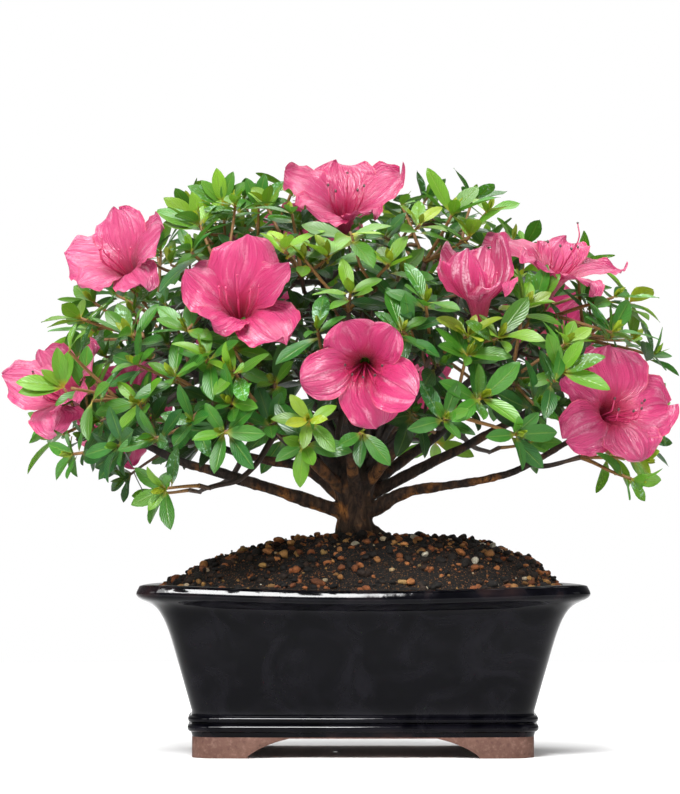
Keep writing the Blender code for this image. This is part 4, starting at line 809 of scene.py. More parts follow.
# Whorls that show deeper in the crown's front: x and z as seen, share of the crown's radius and age.
DEEP_WHORLS = (
    (-0.089, 0.204, 0.85, 0.80), (-0.014, 0.205, 0.80, 0.85), (0.055, 0.239, 0.88, 0.25),
    (-0.118, 0.152, 0.88, 0.60), (-0.072, 0.125, 0.80, 0.60), (-0.094, 0.133, 0.85, 0.70),
    (-0.067, 0.161, 0.88, 0.70), (0.134, 0.146, 0.80, 0.70), (-0.041, 0.149, 0.85, 0.70),
    (0.014, 0.204, 0.88, 0.70), (0.072, 0.206, 0.88, 0.40), (0.107, 0.209, 0.85, 0.60),
    (0.032, 0.252, 0.85, 0.50), (0.020, 0.252, 0.85, 0.60), (0.069, 0.167, 0.85, 0.75),
    (0.033, 0.175, 0.88, 0.80), (-0.095, 0.152, 0.85, 0.70), (-0.055, 0.140, 0.80, 0.80),
    (0.025, 0.166, 0.60, 0.95), (0.021, 0.188, 0.55, 0.95), (0.027, 0.154, 0.50, 0.95),
    (-0.118, 0.153, 0.60, 0.90), (-0.106, 0.150, 0.60, 0.90), (-0.112, 0.165, 0.60, 0.90),
    (0.080, 0.182, 0.60, 0.90), (0.095, 0.195, 0.60, 0.90),
    (-0.121, 0.178, 0.85, 0.75), (-0.1255, 0.146, 0.85, 0.70), (-0.109, 0.140, 0.85, 0.80),
    (0.027, 0.186, 0.80, 0.85), (0.022, 0.155, 0.75, 0.95), (-0.126, 0.134, 0.80, 0.70),
)
# How far apart the deep whorls stand, and the depth they count as, which darkens their leaves and twigs as
# painted shade.
DEEP_SPACING = 0.010
DEEP_SHADE = 0.4
# Gaps in the crown as seen from the front, which the further whorls keep clear of: x, z and radius.
GAPS = (
    (0.105, 0.134, 0.013), (0.091, 0.146, 0.012), (0.080, 0.134, 0.011), (-0.111, 0.176, 0.010),
    (0.081, 0.246, 0.010), (-0.090, 0.254, 0.008), (0.030, 0.165, 0.008),
    (-0.060, 0.142, 0.009), (0.056, 0.221, 0.008), (0.045, 0.173, 0.008),
    (0.132, 0.187, 0.009), (0.132, 0.201, 0.009), (-0.082, 0.125, 0.010), (-0.103, 0.135, 0.009),
    (-0.029, 0.128, 0.009), (0.109, 0.229, 0.008), (-0.130, 0.207, 0.008), (0.061, 0.257, 0.008),
)
# Whorls right in front of a flower: x, depth and z, age, then each leaf's turn as seen and its length.
SEEN_WHORLS = (
    ((-0.1355, -0.058, 0.1675), 0.25, ((100, 17), (82, 16), (172, 20), (185, 19), (140, 12))),
    ((-0.1260, -0.056, 0.1660), 0.35, ((112, 15), (88, 19), (60, 14), (205, 14))),
    ((0.0205, -0.104, 0.1905), 0.60, ((250, 17), (20, 14), (100, 15))),
    ((0.0870, -0.096, 0.1720), 0.35, ((60, 16), (25, 19), (-15, 21), (110, 17), (200, 15))),
    ((0.0775, -0.060, 0.2045), 0.35, ((100, 15), (76, 18), (55, 17), (140, 14))),
    ((-0.0575, -0.086, 0.1830), 0.45, ((75, 14), (115, 14), (30, 15), (-10, 17), (160, 16))),
    ((-0.0648, -0.030, 0.2535), 0.30, ((100, 16), (75, 15), (130, 14), (45, 15), (150, 17))),
    ((-0.0735, -0.036, 0.2425), 0.25, ((108, 16), (142, 21), (160, 21), (172, 17), (60, 14))),
    ((-0.0480, -0.034, 0.2515), 0.45, ((82, 15), (50, 16), (112, 14), (20, 13), (165, 12))),
)
# How pale, how deep in colour and how much painted sheen each flower has that differs from the others; the
# top centre flower's depth is painted shade, darkening it where the lamps light it strongly.
PETAL_LOOKS = {
    "bloom_upper_left": (0.16, 0.0, 0.30), "bloom_top_centre": (0.0, 0.55, 0.20),
    "bloom_front_left": (0.0, 0.0, 0.24), "bloom_front_centre": (0.0, 0.0, 0.34),
    "bloom_low_left": (0.10, 0.0, 0.32), "bloom_opening": (0.0, 0.0, 0.90),
    "bloom_upper_right": (0.0, 0.35, 0.15), "bloom_right": (0.0, 0.0, 0.30),
}
CRUMPLED = {"bloom_opening": 2.0}
PALE_ANTHERS = ("bloom_front_left", "bloom_upper_left", "bloom_opening")
# Leaves in front of an open flower, nearer to its middle line than this, are left out.
FLOWER_VIEW = 0.0062
# Leaves may stand in front of a flower's tube, up to this share of its width from its foot.
TUBE_SHARE = 0.36
# Turns of a fine leaf's tilt and shares of its size, tried in order, and where it is checked.
FINE_TRIES = ((0, 1), (0.3, 1), (-0.3, 1), (0.55, 0.9), (-0.5, 0.85), (0.0, 0.6))
FINE_PLACES = (0.4, 0.7, 1.0)
FINE_ROOM = 0.0008
# Round a whorl: the first leaf's tilt, how much less the last one has, and the stray, in degrees.
SPIRAL_TILT = (84, 46, 9)
# The first leaf's share of the full size, how much less the last one has, and how far below the tip
# the first one starts.
SPIRAL_SIZE = (1.06, 0.38)
SPIRAL_HEIGHT = 0.0042
# How thick a twig is at its start, its bend and its end.
STEM_RADII = (0.0010, 0.0010, 0.0012)
SHOOT_RADII = (0.0010, 0.0008, 0.0007)
FURTHER_RADII = (0.0009, 0.0007, 0.0006)
FAN_RADII = (0.0022, 0.0014, 0.0008)
# The shortest and the longest that a further twig may be, and how far apart the starts are.
SHORTEST_FURTHER = 0.010
LONGEST_FURTHER = 0.060
START_SPACING = 0.006
# Radii of a stamen's thread from foot to tip, and of its tip.
THREAD_RADII = (0.00042, 0.00028)
ANTHER_RADII = (0.0003, 0.00055, 0.00055, 0.0002)
STALK_RADII = (0.0009, 0.0009, 0.0013, 0.0021)
BUD_STALK_RADII = (0.0009, 0.0009, 0.0012, 0.0019)
SEPAL_LENGTH = 0.0075
# Petal points nearer than this become one.
SEAM = 0.00002
# The tint of a flower's stalk and of the sepals at its top.
STALK_TINT = (0.3, 0.6, 0)
SEPAL_TINT = (0.12, 0.7, 0)
# The multipliers that scramble a cell's place into a number.
CELL_PRIMES = (73856093, 19349663, 83492791)


def lattice_noise(points, size, seed=0):
    """Smooth noise from -1 to 1 at each point, with cells of this size."""
    cells = np.asarray(points, float) / size
    low = np.floor(cells).astype(np.int64)
    part = cells - low
    ease = part * part * (3 - 2 * part)
    total = np.zeros(cells.shape[:-1])
    for corner in itertools.product((0, 1), repeat=3):
        mixed = seed * 40503 + 977
        for axis, prime in enumerate(CELL_PRIMES):
            mixed = mixed ^ ((low[..., axis] + corner[axis]) * prime)
        mixed = (mixed ^ (mixed >> 13)) * 1274126177 & 0xFFFFFFFF
        value = ((mixed ^ (mixed >> 16)) & 0xFFFF) / 32767.5 - 1
        total += value * np.prod(np.where(corner, ease, 1 - ease), axis=-1)
    return total


def layered_noise(points, layers):
    """Noise of several sizes together: each layer is a cell size, a height and a seed."""
    return sum(lattice_noise(points, size, seed) * height for size, height, seed in layers)


def add_object(name, data):
    """An object in the scene, made of a mesh, a lamp or a camera."""
    made = bpy.data.objects.new(name, data)
    bpy.context.scene.collection.objects.link(made)
    return made


class Skin:
    """Gathers grids of points into one mesh, with a UV and a tint for every point."""

    def __init__(self):
        self.points, self.faces, self.uvs, self.tints = [], [], [], []
        self.count = 0

    def patch(self, points, faces, uv, tint):
        """Adds points with faces of one length, given as rows of indices."""
        points = np.asarray(points, float).reshape(-1, 3)
        self.points.append(points)
        self.faces.append(np.asarray(faces) + self.count)
        self.uvs.append(np.broadcast_to(uv, (len(points), 2)))
        self.tints.append(np.broadcast_to(tint, (len(points), 3)))
        self.count += len(points)

    def grid(self, points, uv=(0, 0), tint=(0, 0, 0), wrap=False):
        """Adds rows of points, and joins the rows' ends when they wrap round."""
        points = np.asarray(points, float)
        rows, columns = points.shape[:2]
        index = np.arange(rows * columns).reshape(rows, columns)
        if wrap:
            index = np.hstack([index, index[:, :1]])
        faces = np.stack([index[:-1, :-1], index[:-1, 1:], index[1:, 1:], index[1:, :-1]], axis=-1)
        uv, tint = np.asarray(uv, float), np.asarray(tint, float)
        uv = uv.reshape(-1, 2) if uv.ndim > 1 else uv
        tint = tint.reshape(-1, 3) if tint.ndim > 1 else tint
        self.patch(points, faces.reshape(-1, 4), uv, tint)

    def tube(self, path, radii, sides, tint=(0, 0, 0)):
        """Adds a closed tube along a path, turned as little as possible from ring to ring."""
        path, radii = np.asarray(path, float), np.asarray(radii, float)
        tangents = np.gradient(path, axis=0)
        tangents /= np.linalg.norm(tangents, axis=1)[:, None]
        path = np.vstack([path[:1], path, path[-1:]])
        radii = np.concatenate([[radii[0] * 0.05], radii, [radii[-1] * 0.05]])
        tangents = np.vstack([tangents[:1], tangents, tangents[-1:]])
        angles = np.linspace(0, math.tau, sides, endpoint=False)[:, None]
        normal = np.cross(tangents[0], (0.31, 0.52, 0.79))
        rings = []
        for point, tangent, radius in zip(path, tangents, radii):
            normal = normal - tangent * normal.dot(tangent)
            normal /= np.linalg.norm(normal)
            second = np.cross(tangent, normal)
            rings.append(point + radius * (np.cos(angles) * normal + np.sin(angles) * second))
        along = np.linspace(0, 1, len(rings))
        uv = np.stack(np.meshgrid(np.linspace(0, 1, sides), along), axis=-1)
        self.grid(rings, uv, tint, True)

    def make(self, name, material):
        """The smooth mesh object of all that was added."""
        mesh = bpy.data.meshes.new(name)
        points = np.vstack(self.points)
        corners = np.concatenate([faces.ravel() for faces in self.faces])
        sizes = np.concatenate([np.full(len(faces), faces.shape[1]) for faces in self.faces])
        mesh.vertices.add(len(points))
        mesh.vertices.foreach_set("co", points.ravel())
        mesh.loops.add(len(corners))
        mesh.loops.foreach_set("vertex_index", corners)
        mesh.polygons.add(len(sizes))
        mesh.polygons.foreach_set("loop_start", np.cumsum(sizes) - sizes)
        mesh.uv_layers.new(name="UVMap").data.foreach_set("uv", np.vstack(self.uvs)[corners].ravel())
        tints = np.hstack([np.vstack(self.tints), np.ones((len(points), 1))])
        mesh.attributes.new(TINT, "FLOAT_COLOR", "POINT").data.foreach_set("color", tints.ravel())
        mesh.update(calc_edges=True)
        mesh.validate()
        mesh.shade_smooth()
        mesh.materials.append(material)
        return add_object(name, mesh)


def dress(made, slot, *nodes):
    """Makes a piece ride on the plant and stand for some nodes, which it hides."""
    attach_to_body(made, "root")
    if nodes:
        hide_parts(*nodes)


# Materials.


def node(tree, kind, inputs=None, **options):
    """Adds a node, sets its options, and sets or links its inputs."""
    made = tree.nodes.new(kind)
    for key, value in options.items():
        setattr(made, key, value)
    for key, value in (inputs or {}).items():
        if isinstance(value, bpy.types.NodeSocket):
            tree.links.new(value, made.inputs[key])
        else:
            made.inputs[key].default_value = value
    return made


def ramp(tree, share, stops):
    """A colour ramp through stops of place and colour."""
    made = node(tree, "ShaderNodeValToRGB", {"Fac": share})
    band = made.color_ramp.elements
    while len(band) < len(stops):
        band.new(1.0)
    for element, (place, colour) in zip(band, stops):
        element.position = place
        element.color = (*colour, 1)
    return made.outputs["Color"]


def levels(tree, value, low, high, to_low=0.0, to_high=1.0):
    """Maps a value from one range to another, and clamps it there."""
    made = node(tree, "ShaderNodeMapRange", {0: value, 1: low, 2: high, 3: to_low, 4: to_high})
    return made.outputs[0]


def blend(tree, share, first, second, way="MIX"):
    """Mixes two colours by a share."""
    first, second = ((*c, 1) if isinstance(c, tuple) else c for c in (first, second))
    inputs = {0: share, 6: first, 7: second}
    return node(tree, "ShaderNodeMix", inputs, data_type="RGBA", blend_type=way).outputs[2]


def maths(tree, way, first, second=0.0):
    """One arithmetic step."""
    return node(tree, "ShaderNodeMath", {0: first, 1: second}, operation=way).outputs[0]


def times(tree, first, *others):
    """The product of numbers that vary over a surface."""
    for other in others:
        first = maths(tree, "MULTIPLY", first, other)
    return first


def distance(tree, value, place):
    """How far a number is from a place."""
    return maths(tree, "ABSOLUTE", maths(tree, "SUBTRACT", value, place))


def joined(tree, x, y, z):
    """A point made of three numbers."""
    return node(tree, "ShaderNodeCombineXYZ", {0: x, 1: y, 2: z}).outputs[0]


def where(tree, space="Object"):
    """The point's place in the object's own space, or its UV."""
    return node(tree, "ShaderNodeTexCoord").outputs[space]


def height_of(tree):
    """How high a point is."""
    return node(tree, "ShaderNodeSeparateXYZ", {0: where(tree)}).outputs[2]


def speckle(tree, scale, detail=3.0, roughness=0.6, place=None, warp=0.0):
    """Noise from 0 to 1, in the object's own space unless another place is given."""
    place = place or where(tree)
    inputs = {"Vector": place, "Scale": scale, "Detail": detail, "Roughness": roughness, "Distortion": warp}
    return node(tree, "ShaderNodeTexNoise", inputs).outputs["Fac"]


def cells(tree, scale, place):
    """The distance to the middle of the nearest cell of an uneven pattern."""
    return node(tree, "ShaderNodeTexVoronoi", {"Vector": place, "Scale": scale}).outputs["Distance"]


def bump(tree, height, strength, distance, below=None):
    """A bump from a height, on top of another bump if one is given."""
    inputs = {"Height": height, "Strength": strength, "Distance": distance}
    if below:
        inputs["Normal"] = below
    return node(tree, "ShaderNodeBump", inputs).outputs["Normal"]


def surface(name, **constants):
    """A material with its Principled shader, whose constants are given by input name."""
    made = bpy.data.materials.new(name)
    made.use_nodes = True
    shader = made.node_tree.nodes["Principled BSDF"]
    for key, value in constants.items():
        shader.inputs[key.replace("_", " ")].default_value = value
    return made, made.node_tree, shader


def attach(tree, shader, colour, roughness, normal):
    """Links what varies over a surface to its shader."""
    for key, value in (("Base Color", colour), ("Roughness", roughness), ("Normal", normal)):
        tree.links.new(value, shader.inputs[key])


def let_through(tree, shader, colour, share, normal=None):
    """Mixes in light that passes through a thin sheet."""
    inputs = {"Color": colour}
    if normal:
        inputs["Normal"] = normal
    passed = node(tree, "ShaderNodeBsdfTranslucent", inputs).outputs[0]
    mixed = node(tree, "ShaderNodeMixShader", {0: share, 1: shader.outputs[0], 2: passed})
    tree.links.new(mixed.outputs[0], tree.nodes["Material Output"].inputs["Surface"])


def tint_parts(tree):
    """The three numbers of a point's tint."""
    tint = node(tree, "ShaderNodeAttribute", attribute_name=TINT).outputs["Color"]
    return node(tree, "ShaderNodeSeparateColor", {0: tint}).outputs


def leaf_material():
    """A leaf's satin green: yellow-green when young, dark and glossy when old, paler along its midrib, with
    painted shade deep in the crown and painted whitish glints on a few leaves.
    """
    made, tree, shader = surface("leaf", Specular_IOR_Level=0.28)
    age, value, kind = tint_parts(tree)
    green = ramp(tree, age, (
        (0.0, (0.34, 0.40, 0.020)), (0.18, (0.17, 0.34, 0.014)), (0.45, (0.045, 0.200, 0.012)),
        (0.75, (0.010, 0.100, 0.018)), (1.0, (0.003, 0.034, 0.010)),
    ))
    across, along, _ = node(tree, "ShaderNodeSeparateXYZ", {0: where(tree, "UV")}).outputs
    off_rib = distance(tree, across, 0.5)
    rib = levels(tree, off_rib, 0.0, 0.055, 1.0, 0.0)
    slanted = maths(tree, "SUBTRACT", times(tree, along, 9.0), times(tree, off_rib, 7.0))
    veins = maths(tree, "SINE", times(tree, slanted, 6.283))
    patchy = speckle(tree, 260.0, 3.0)
    colour = blend(tree, levels(tree, patchy, 0.3, 0.75, 0.0, 0.28), green, (0.10, 0.22, 0.025))
    colour = blend(tree, times(tree, rib, 0.40), colour, (0.24, 0.36, 0.05))
    # Painted shade: a low second tint number, a random tone times the shade of lying deep in the crown, turns
    # the leaf nearly black.
    colour = blend(tree, levels(tree, value, 0.0, 1.0, 0.85, 0.0), colour, (0.0020, 0.009, 0.003))
    golden = times(
        tree, levels(tree, along, 0.04, 0.24, 0.85, 0.0), levels(tree, age, 0.1, 0.8, 1.0, 0.25)
    )
    colour = blend(tree, golden, colour, (0.46, 0.27, 0.022))
    height = maths(tree, "ADD", times(tree, veins, 0.25), times(tree, rib, -1.4))
    normal = bump(tree, height, 0.55, 0.00028)
    normal = bump(tree, speckle(tree, 1500.0, 2.0), 0.22, 0.00015, normal)
    # Painted highlight: a few leaves get whitish glints mixed into their colour.
    painted_sheen = levels(tree, kind, 0.86, 0.92)
    glints = levels(tree, speckle(tree, 330.0, 3.0, 0.6, None, 1.5), 0.54, 0.66)
    colour = blend(tree, times(tree, painted_sheen, glints, 0.55), colour, (0.42, 0.62, 0.50))
    attach(tree, shader, colour, levels(tree, patchy, 0.3, 0.7, 0.30, 0.46), normal)
    let_through(tree, shader, blend(tree, 0.3, colour, (0.20, 0.42, 0.02), "ADD"), 0.16)
    return made


def twig_material():
    """Young stems: orange-brown near the leaves and dark grey-brown where they are older; the same darkening
    also stands as painted shade on twigs deep in the crown.
    """
    made, tree, shader = surface("twig", Specular_IOR_Level=0.35)
    age, _, _ = tint_parts(tree)
    brown = ramp(tree, age, (
        (0.0, (0.30, 0.24, 0.03)), (0.3, (0.24, 0.115, 0.022)), (0.6, (0.075, 0.036, 0.014)),
        (0.85, (0.020, 0.012, 0.008)), (1.0, (0.008, 0.006, 0.005)),
    ))
    grain = speckle(tree, 900.0, 4.0, 0.7)
    colour = blend(tree, levels(tree, grain, 0.35, 0.7, 0.0, 0.6), brown, (0.05, 0.028, 0.016))
    attach(tree, shader, colour, levels(tree, grain, 0.3, 0.7, 0.55, 0.8), bump(tree, grain, 0.8, 0.0004))
    return made


def bark_material():
    """Dark cracked bark with rusty patches, lighter on its ridges, and painted shade that turns it nearly
    black where it rises into the crown.
    """
    made, tree, shader = surface("bark", Specular_IOR_Level=0.30)
    place = where(tree)
    stretched = node(tree, "ShaderNodeMapping", {"Vector": place, "Scale": (1.0, 1.0, 0.35)}).outputs[0]
    cracks = speckle(tree, 330.0, 6.0, 0.72, stretched, 0.8)
    plates = cells(tree, 190.0, stretched)
    patches = speckle(tree, 75.0, 3.0, 0.55)
    colour = ramp(tree, cracks, (
        (0.28, (0.004, 0.003, 0.002)), (0.45, (0.022, 0.011, 0.006)), (0.60, (0.065, 0.032, 0.015)),
        (0.78, (0.150, 0.085, 0.042)),
    ))
    rusty = times(tree, levels(tree, patches, 0.47, 0.60), levels(tree, cracks, 0.36, 0.56), 0.95)
    colour = blend(tree, rusty, colour, (0.40, 0.150, 0.030))
    # Painted shade: the bark turns nearly black as it rises into the crown.
    black = levels(tree, height_of(tree), 0.114, 0.136, 0.0, 0.86)
    colour = blend(tree, black, colour, (0.007, 0.005, 0.004))
    height = maths(tree, "ADD", cracks, times(tree, plates, 0.6))
    attach(tree, shader, colour, levels(tree, cracks, 0.3, 0.7, 0.92, 0.66), bump(tree, height, 1.0, 0.0016))
    return made


def petal_material(name="petal", pale=0.0, deep=0.0, painted_sheen=0.20):
    """Azalea petal: pink, darker red down the throat, with fine veins and whitish streaks of painted sheen.
    """
    made, tree, shader = surface(name, Specular_IOR_Level=0.42, Sheen_Weight=0.06, Sheen_Roughness=0.4)
    along, side, lobe = tint_parts(tree)
    colour = ramp(tree, along, (
        (0.0, (0.30, 0.006, 0.012)), (0.30, (0.36, 0.008, 0.024)), (0.44, (0.43, 0.012, 0.065)),
        (0.60, (0.46, 0.024, 0.118)), (1.0, (0.48, 0.033, 0.140)),
    ))
    colour = blend(tree, pale, colour, (0.56, 0.20, 0.32))
    # Deeper colour; on the top centre flower it is painted shade where the lamps light it strongly.
    colour = blend(tree, deep, colour, (0.34, 0.010, 0.075))
    cloudy = speckle(tree, 60.0, 3.0)
    colour = blend(tree, levels(tree, cloudy, 0.42, 0.72, 0.0, 0.30), colour, (0.54, 0.085, 0.22))
    lines = joined(tree, times(tree, side, 26.0), times(tree, along, 1.6), lobe)
    veins = speckle(tree, 1.0, 4.0, 0.6, lines, 0.4)
    colour = blend(tree, levels(tree, veins, 0.50, 0.74, 0.0, 0.42), colour, (0.40, 0.014, 0.10))
    off_middle = distance(tree, side, 0.5)
    middle = levels(tree, off_middle, 0.0, 0.06, 1.0, 0.0)
    colour = blend(tree, times(tree, middle, 0.35), colour, (0.41, 0.015, 0.10))
    spots = levels(tree, cells(tree, 620.0, where(tree)), 0.26, 0.34, 1.0, 0.0)
    band = times(tree, levels(tree, along, 0.30, 0.38), levels(tree, along, 0.56, 0.72, 1.0, 0.0))
    upper = levels(tree, distance(tree, lobe, 0.4), 0.05, 0.1, 1.0, 0.0)
    colour = blend(tree, times(tree, spots, band, upper, 0.75), colour, (0.30, 0.004, 0.035))
    margin = times(tree, levels(tree, off_middle, 0.47, 0.50), levels(tree, along, 0.45, 0.6, 0.0, 0.45))
    colour = blend(tree, margin, colour, (0.60, 0.09, 0.10))
    folds = joined(tree, times(tree, side, 7.0), times(tree, along, 2.6), times(tree, lobe, 9.0))
    streaks = speckle(tree, 1.0, 3.0, 0.5, folds, 0.7)
    # Painted sheen: whitish streaks along the folds, broken into spots, are mixed into the colour.
    painted_sheen_spots = levels(tree, speckle(tree, 900.0, 2.0, 0.5), 0.36, 0.58, 0.25, 1.0)
    shine = times(tree, levels(tree, streaks, 0.53, 0.68), painted_sheen_spots, levels(tree, along, 0.46, 0.62), painted_sheen)
    colour = blend(tree, shine, colour, (0.80, 0.52, 0.62))
    height = maths(tree, "ADD", veins, times(tree, streaks, 1.6))
    height = maths(tree, "ADD", height, times(tree, middle, -0.5))
    normal = bump(tree, height, 0.80, 0.0015)
    normal = bump(tree, speckle(tree, 420.0, 3.0), 0.28, 0.0006, normal)
    attach(tree, shader, colour, levels(tree, veins, 0.3, 0.7, 0.24, 0.40), normal)
    let_through(tree, shader, blend(tree, 0.4, colour, (0.80, 0.06, 0.22)), 0.18, normal)
    return made


def glaze_material():
    """Black glaze, pooled glossy and breaking to brown where it runs thin over the edges, with a faint bluish
    mottle that is partly the glaze's own tone and partly painted reflection.
    """
    made, tree, shader = surface("glaze", Specular_IOR_Level=0.10)
    thin = speckle(tree, 46.0, 4.0, 0.55, None, 1.2)
    height = height_of(tree)
    edge = maths(tree, "MAXIMUM", levels(tree, height, 0.0705, 0.0745), levels(tree, height, 0.0135, 0.0105))
    # The lighter bluish end of this ramp is partly the glaze's own tone and partly painted reflection.
    dark = ramp(tree, thin, ((0.42, (0.0005, 0.0005, 0.0014)), (0.66, (0.0045, 0.0042, 0.0064))))
    brown = times(tree, edge, levels(tree, thin, 0.55, 0.72, 0.0, 0.35))
    colour = blend(tree, brown, dark, (0.030, 0.012, 0.008))
    normal = bump(tree, speckle(tree, 30.0, 2.0, 0.5), 0.20, 0.0024)
    normal = bump(tree, speckle(tree, 260.0, 3.0), 0.06, 0.0006, normal)
    attach(tree, shader, colour, levels(tree, thin, 0.3, 0.7, 0.03, 0.08), normal)
    return made


def clay_material():
    """Bare fired clay: red-brown and slightly pitted."""
    made, tree, shader = surface("clay", Specular_IOR_Level=0.25)
    grain = speckle(tree, 420.0, 5.0, 0.7)
    broad = speckle(tree, 60.0, 3.0)
    colour = ramp(tree, broad, ((0.30, (0.092, 0.041, 0.029)), (0.70, (0.138, 0.068, 0.049))))
    colour = blend(tree, levels(tree, grain, 0.52, 0.72, 0.0, 0.5), colour, (0.25, 0.150, 0.115))
    colour = blend(tree, levels(tree, grain, 0.44, 0.30, 0.0, 0.7), colour, (0.055, 0.025, 0.018))
    attach(tree, shader, colour, levels(tree, grain, 0.3, 0.7, 0.88, 0.70), bump(tree, grain, 0.55, 0.0006))
    return made


def earth_material():
    """Damp potting soil: nearly black, with brown and ochre specks."""
    made, tree, shader = surface("earth", Specular_IOR_Level=0.30)
    fine = speckle(tree, 620.0, 6.0, 0.75)
    specks = speckle(tree, 1300.0, 2.0, 0.5)
    colour = ramp(tree, fine, (
        (0.30, (0.002, 0.0015, 0.001)), (0.52, (0.009, 0.006, 0.004)), (0.68, (0.036, 0.020, 0.010)),
        (0.85, (0.130, 0.066, 0.026)),
    ))
    colour = blend(tree, levels(tree, specks, 0.60, 0.66, 0.0, 0.8), colour, (0.30, 0.12, 0.035))
    attach(tree, shader, colour, levels(tree, fine, 0.3, 0.7, 0.95, 0.75), bump(tree, fine, 1.0, 0.0030))
    return made


def crumb_material():
    """Loose crumbs: bark and peat, orange and tan fired clay, pale pumice."""
    made, tree, shader = surface("crumb", Specular_IOR_Level=0.30)
    kind, value, _ = tint_parts(tree)
    colour = ramp(tree, kind, (
        (0.0, (0.004, 0.003, 0.002)), (0.30, (0.013, 0.008, 0.005)), (0.50, (0.050, 0.024, 0.012)),
        (0.64, (0.24, 0.070, 0.020)), (0.76, (0.40, 0.135, 0.040)), (0.86, (0.42, 0.24, 0.07)),
        (1.0, (0.78, 0.72, 0.56)),
    ))
    grain = speckle(tree, 1500.0, 4.0, 0.7)
    shade = times(
        tree, levels(tree, grain, 0.3, 0.7, 0.5, 1.25), levels(tree, value, 0.0, 1.0, 0.55, 1.2)
    )
    grey = node(tree, "ShaderNodeCombineColor", {0: shade, 1: shade, 2: shade}).outputs[0]
    colour = blend(tree, 1.0, colour, grey, "MULTIPLY")
    attach(tree, shader, colour, levels(tree, grain, 0.3, 0.7, 0.92, 0.72), bump(tree, grain, 0.9, 0.0006))
    return made


def plain_material(name, colour, roughness, scale):
    """A matte or satin material of one colour with a fine grain."""
    made, tree, shader = surface(name)
    grain = speckle(tree, scale, 4.0, 0.65)
    shade = blend(tree, levels(tree, grain, 0.3, 0.7, 0.0, 0.45), colour, tuple(c * 0.55 for c in colour))
    rough = levels(tree, grain, 0.3, 0.7, roughness, roughness * 0.75)
    attach(tree, shader, shade, rough, bump(tree, grain, 0.6, 0.0003))
    return made


# The pot, the soil and the wood.


def pot_ring(inset, height, corner_radius, sag=True):
    """A level line of the fine pot's wall, on the same bowed and sagging rectangle as the solid."""
    half_x, half_y = RIM_HALF_LENGTH - inset, RIM_HALF_DEPTH - inset
    share = max(0.0, (height - FLOOR_TOP) / (RIM_HEIGHT - FLOOR_TOP)) if sag else 0.0
    places = []
    for corner in range(4):
        sign_x, sign_y = (1 if corner in (0, 3) else -1), (1 if corner in (0, 1) else -1)
        middle = Vector((sign_x * (half_x - corner_radius), sign_y * (half_y - corner_radius)))
        for step in range(CORNER_STEPS + 1):
            angle = (corner + step / CORNER_STEPS) * math.pi / 2
            normal = Vector((math.cos(angle), math.sin(angle)))
            places.append((middle + corner_radius * normal, normal))
        last, normal = places[-1]
        after = Vector((-last.x, last.y)) if corner % 2 == 0 else Vector((last.x, -last.y))
        count = POT_LONG_STEPS if corner % 2 == 0 else POT_SHORT_STEPS
        places += [(last.lerp(after, n / count), normal) for n in range(1, count)]
    found = []
    for point, normal in places:
        long_side = max(0.0, 1 - (point.x / half_x) ** 2)
        short_side = max(0.0, 1 - (point.y / half_y) ** 2)
        x = point.x + normal.x * SIDE_BOW * 0.6 * short_side
        y = point.y + normal.y * SIDE_BOW * long_side
        found.append(Vector((x, y, height - RIM_SAG * long_side**1.5 * share)) + POT_CENTRE)
    return found


def plain_object(name, work):
    """An object made of a bmesh, with its normals outward."""
    bmesh.ops.recalc_face_normals(work, faces=work.faces)
    mesh = bpy.data.meshes.new(name)
    work.to_mesh(mesh)
    work.free()
    return add_object(name, mesh)


def skin_rings(rings, closed):
    """A bmesh through rings of equal length, joined end to end or filled at both ends."""
    work = bmesh.new()
    rows = [[work.verts.new(p) for p in ring] for ring in rings]
    pairs = list(zip(rows, rows[1:])) + ([(rows[-1], rows[0])] if closed else [])
    for lower, upper in pairs:
        for n in range(len(lower)):
            m = (n + 1) % len(lower)
            work.faces.new((lower[n], lower[m], upper[m], upper[n]))
    if not closed:
        work.faces.new(reversed(rows[0]))
        work.faces.new(rows[-1])
    return work


def paint(made, *materials):
    """Gives an object its materials, and shades it smooth but for its sharp edges."""
    made.data.materials.clear()
    for material in materials:
        made.data.materials.append(material)
    made.data.shade_smooth()
    made.data.set_sharp_from_angle(angle=SHARP_EDGE)


def settle(made):
    """Applies an object's modifiers."""
    bpy.context.view_layer.update()
    graph = bpy.context.evaluated_depsgraph_get()
    mesh = bpy.data.meshes.new_from_object(made.evaluated_get(graph))
    made.modifiers.clear()
    made.data = mesh


def carve(made, cutter):
    """Cuts one closed mesh out of another."""
    cutting = made.modifiers.new("carve", "BOOLEAN")
    cutting.operation = "DIFFERENCE"
    cutting.object = cutter
    settle(made)
    bpy.data.objects.remove(cutter)


def arch_prism(half_width, across):
    """The opening between two feet, with its curved shoulders, as a prism along Y or X."""
    right = smooth_path([(half_width - run, rise) for run, rise in ARCH_CURVE], 4)
    outline = [(half_width, -0.003), *right]
    outline += [(-x, z) for x, z in reversed(outline)]
    rings = []
    for end in (-RIM_HALF_LENGTH, RIM_HALF_LENGTH):
        ring = [Vector((x, end, z)) if across == "Y" else Vector((end, x, z)) for x, z in outline]
        rings.append([point + POT_CENTRE for point in ring])
    return plain_object("arch", skin_rings(rings, False))


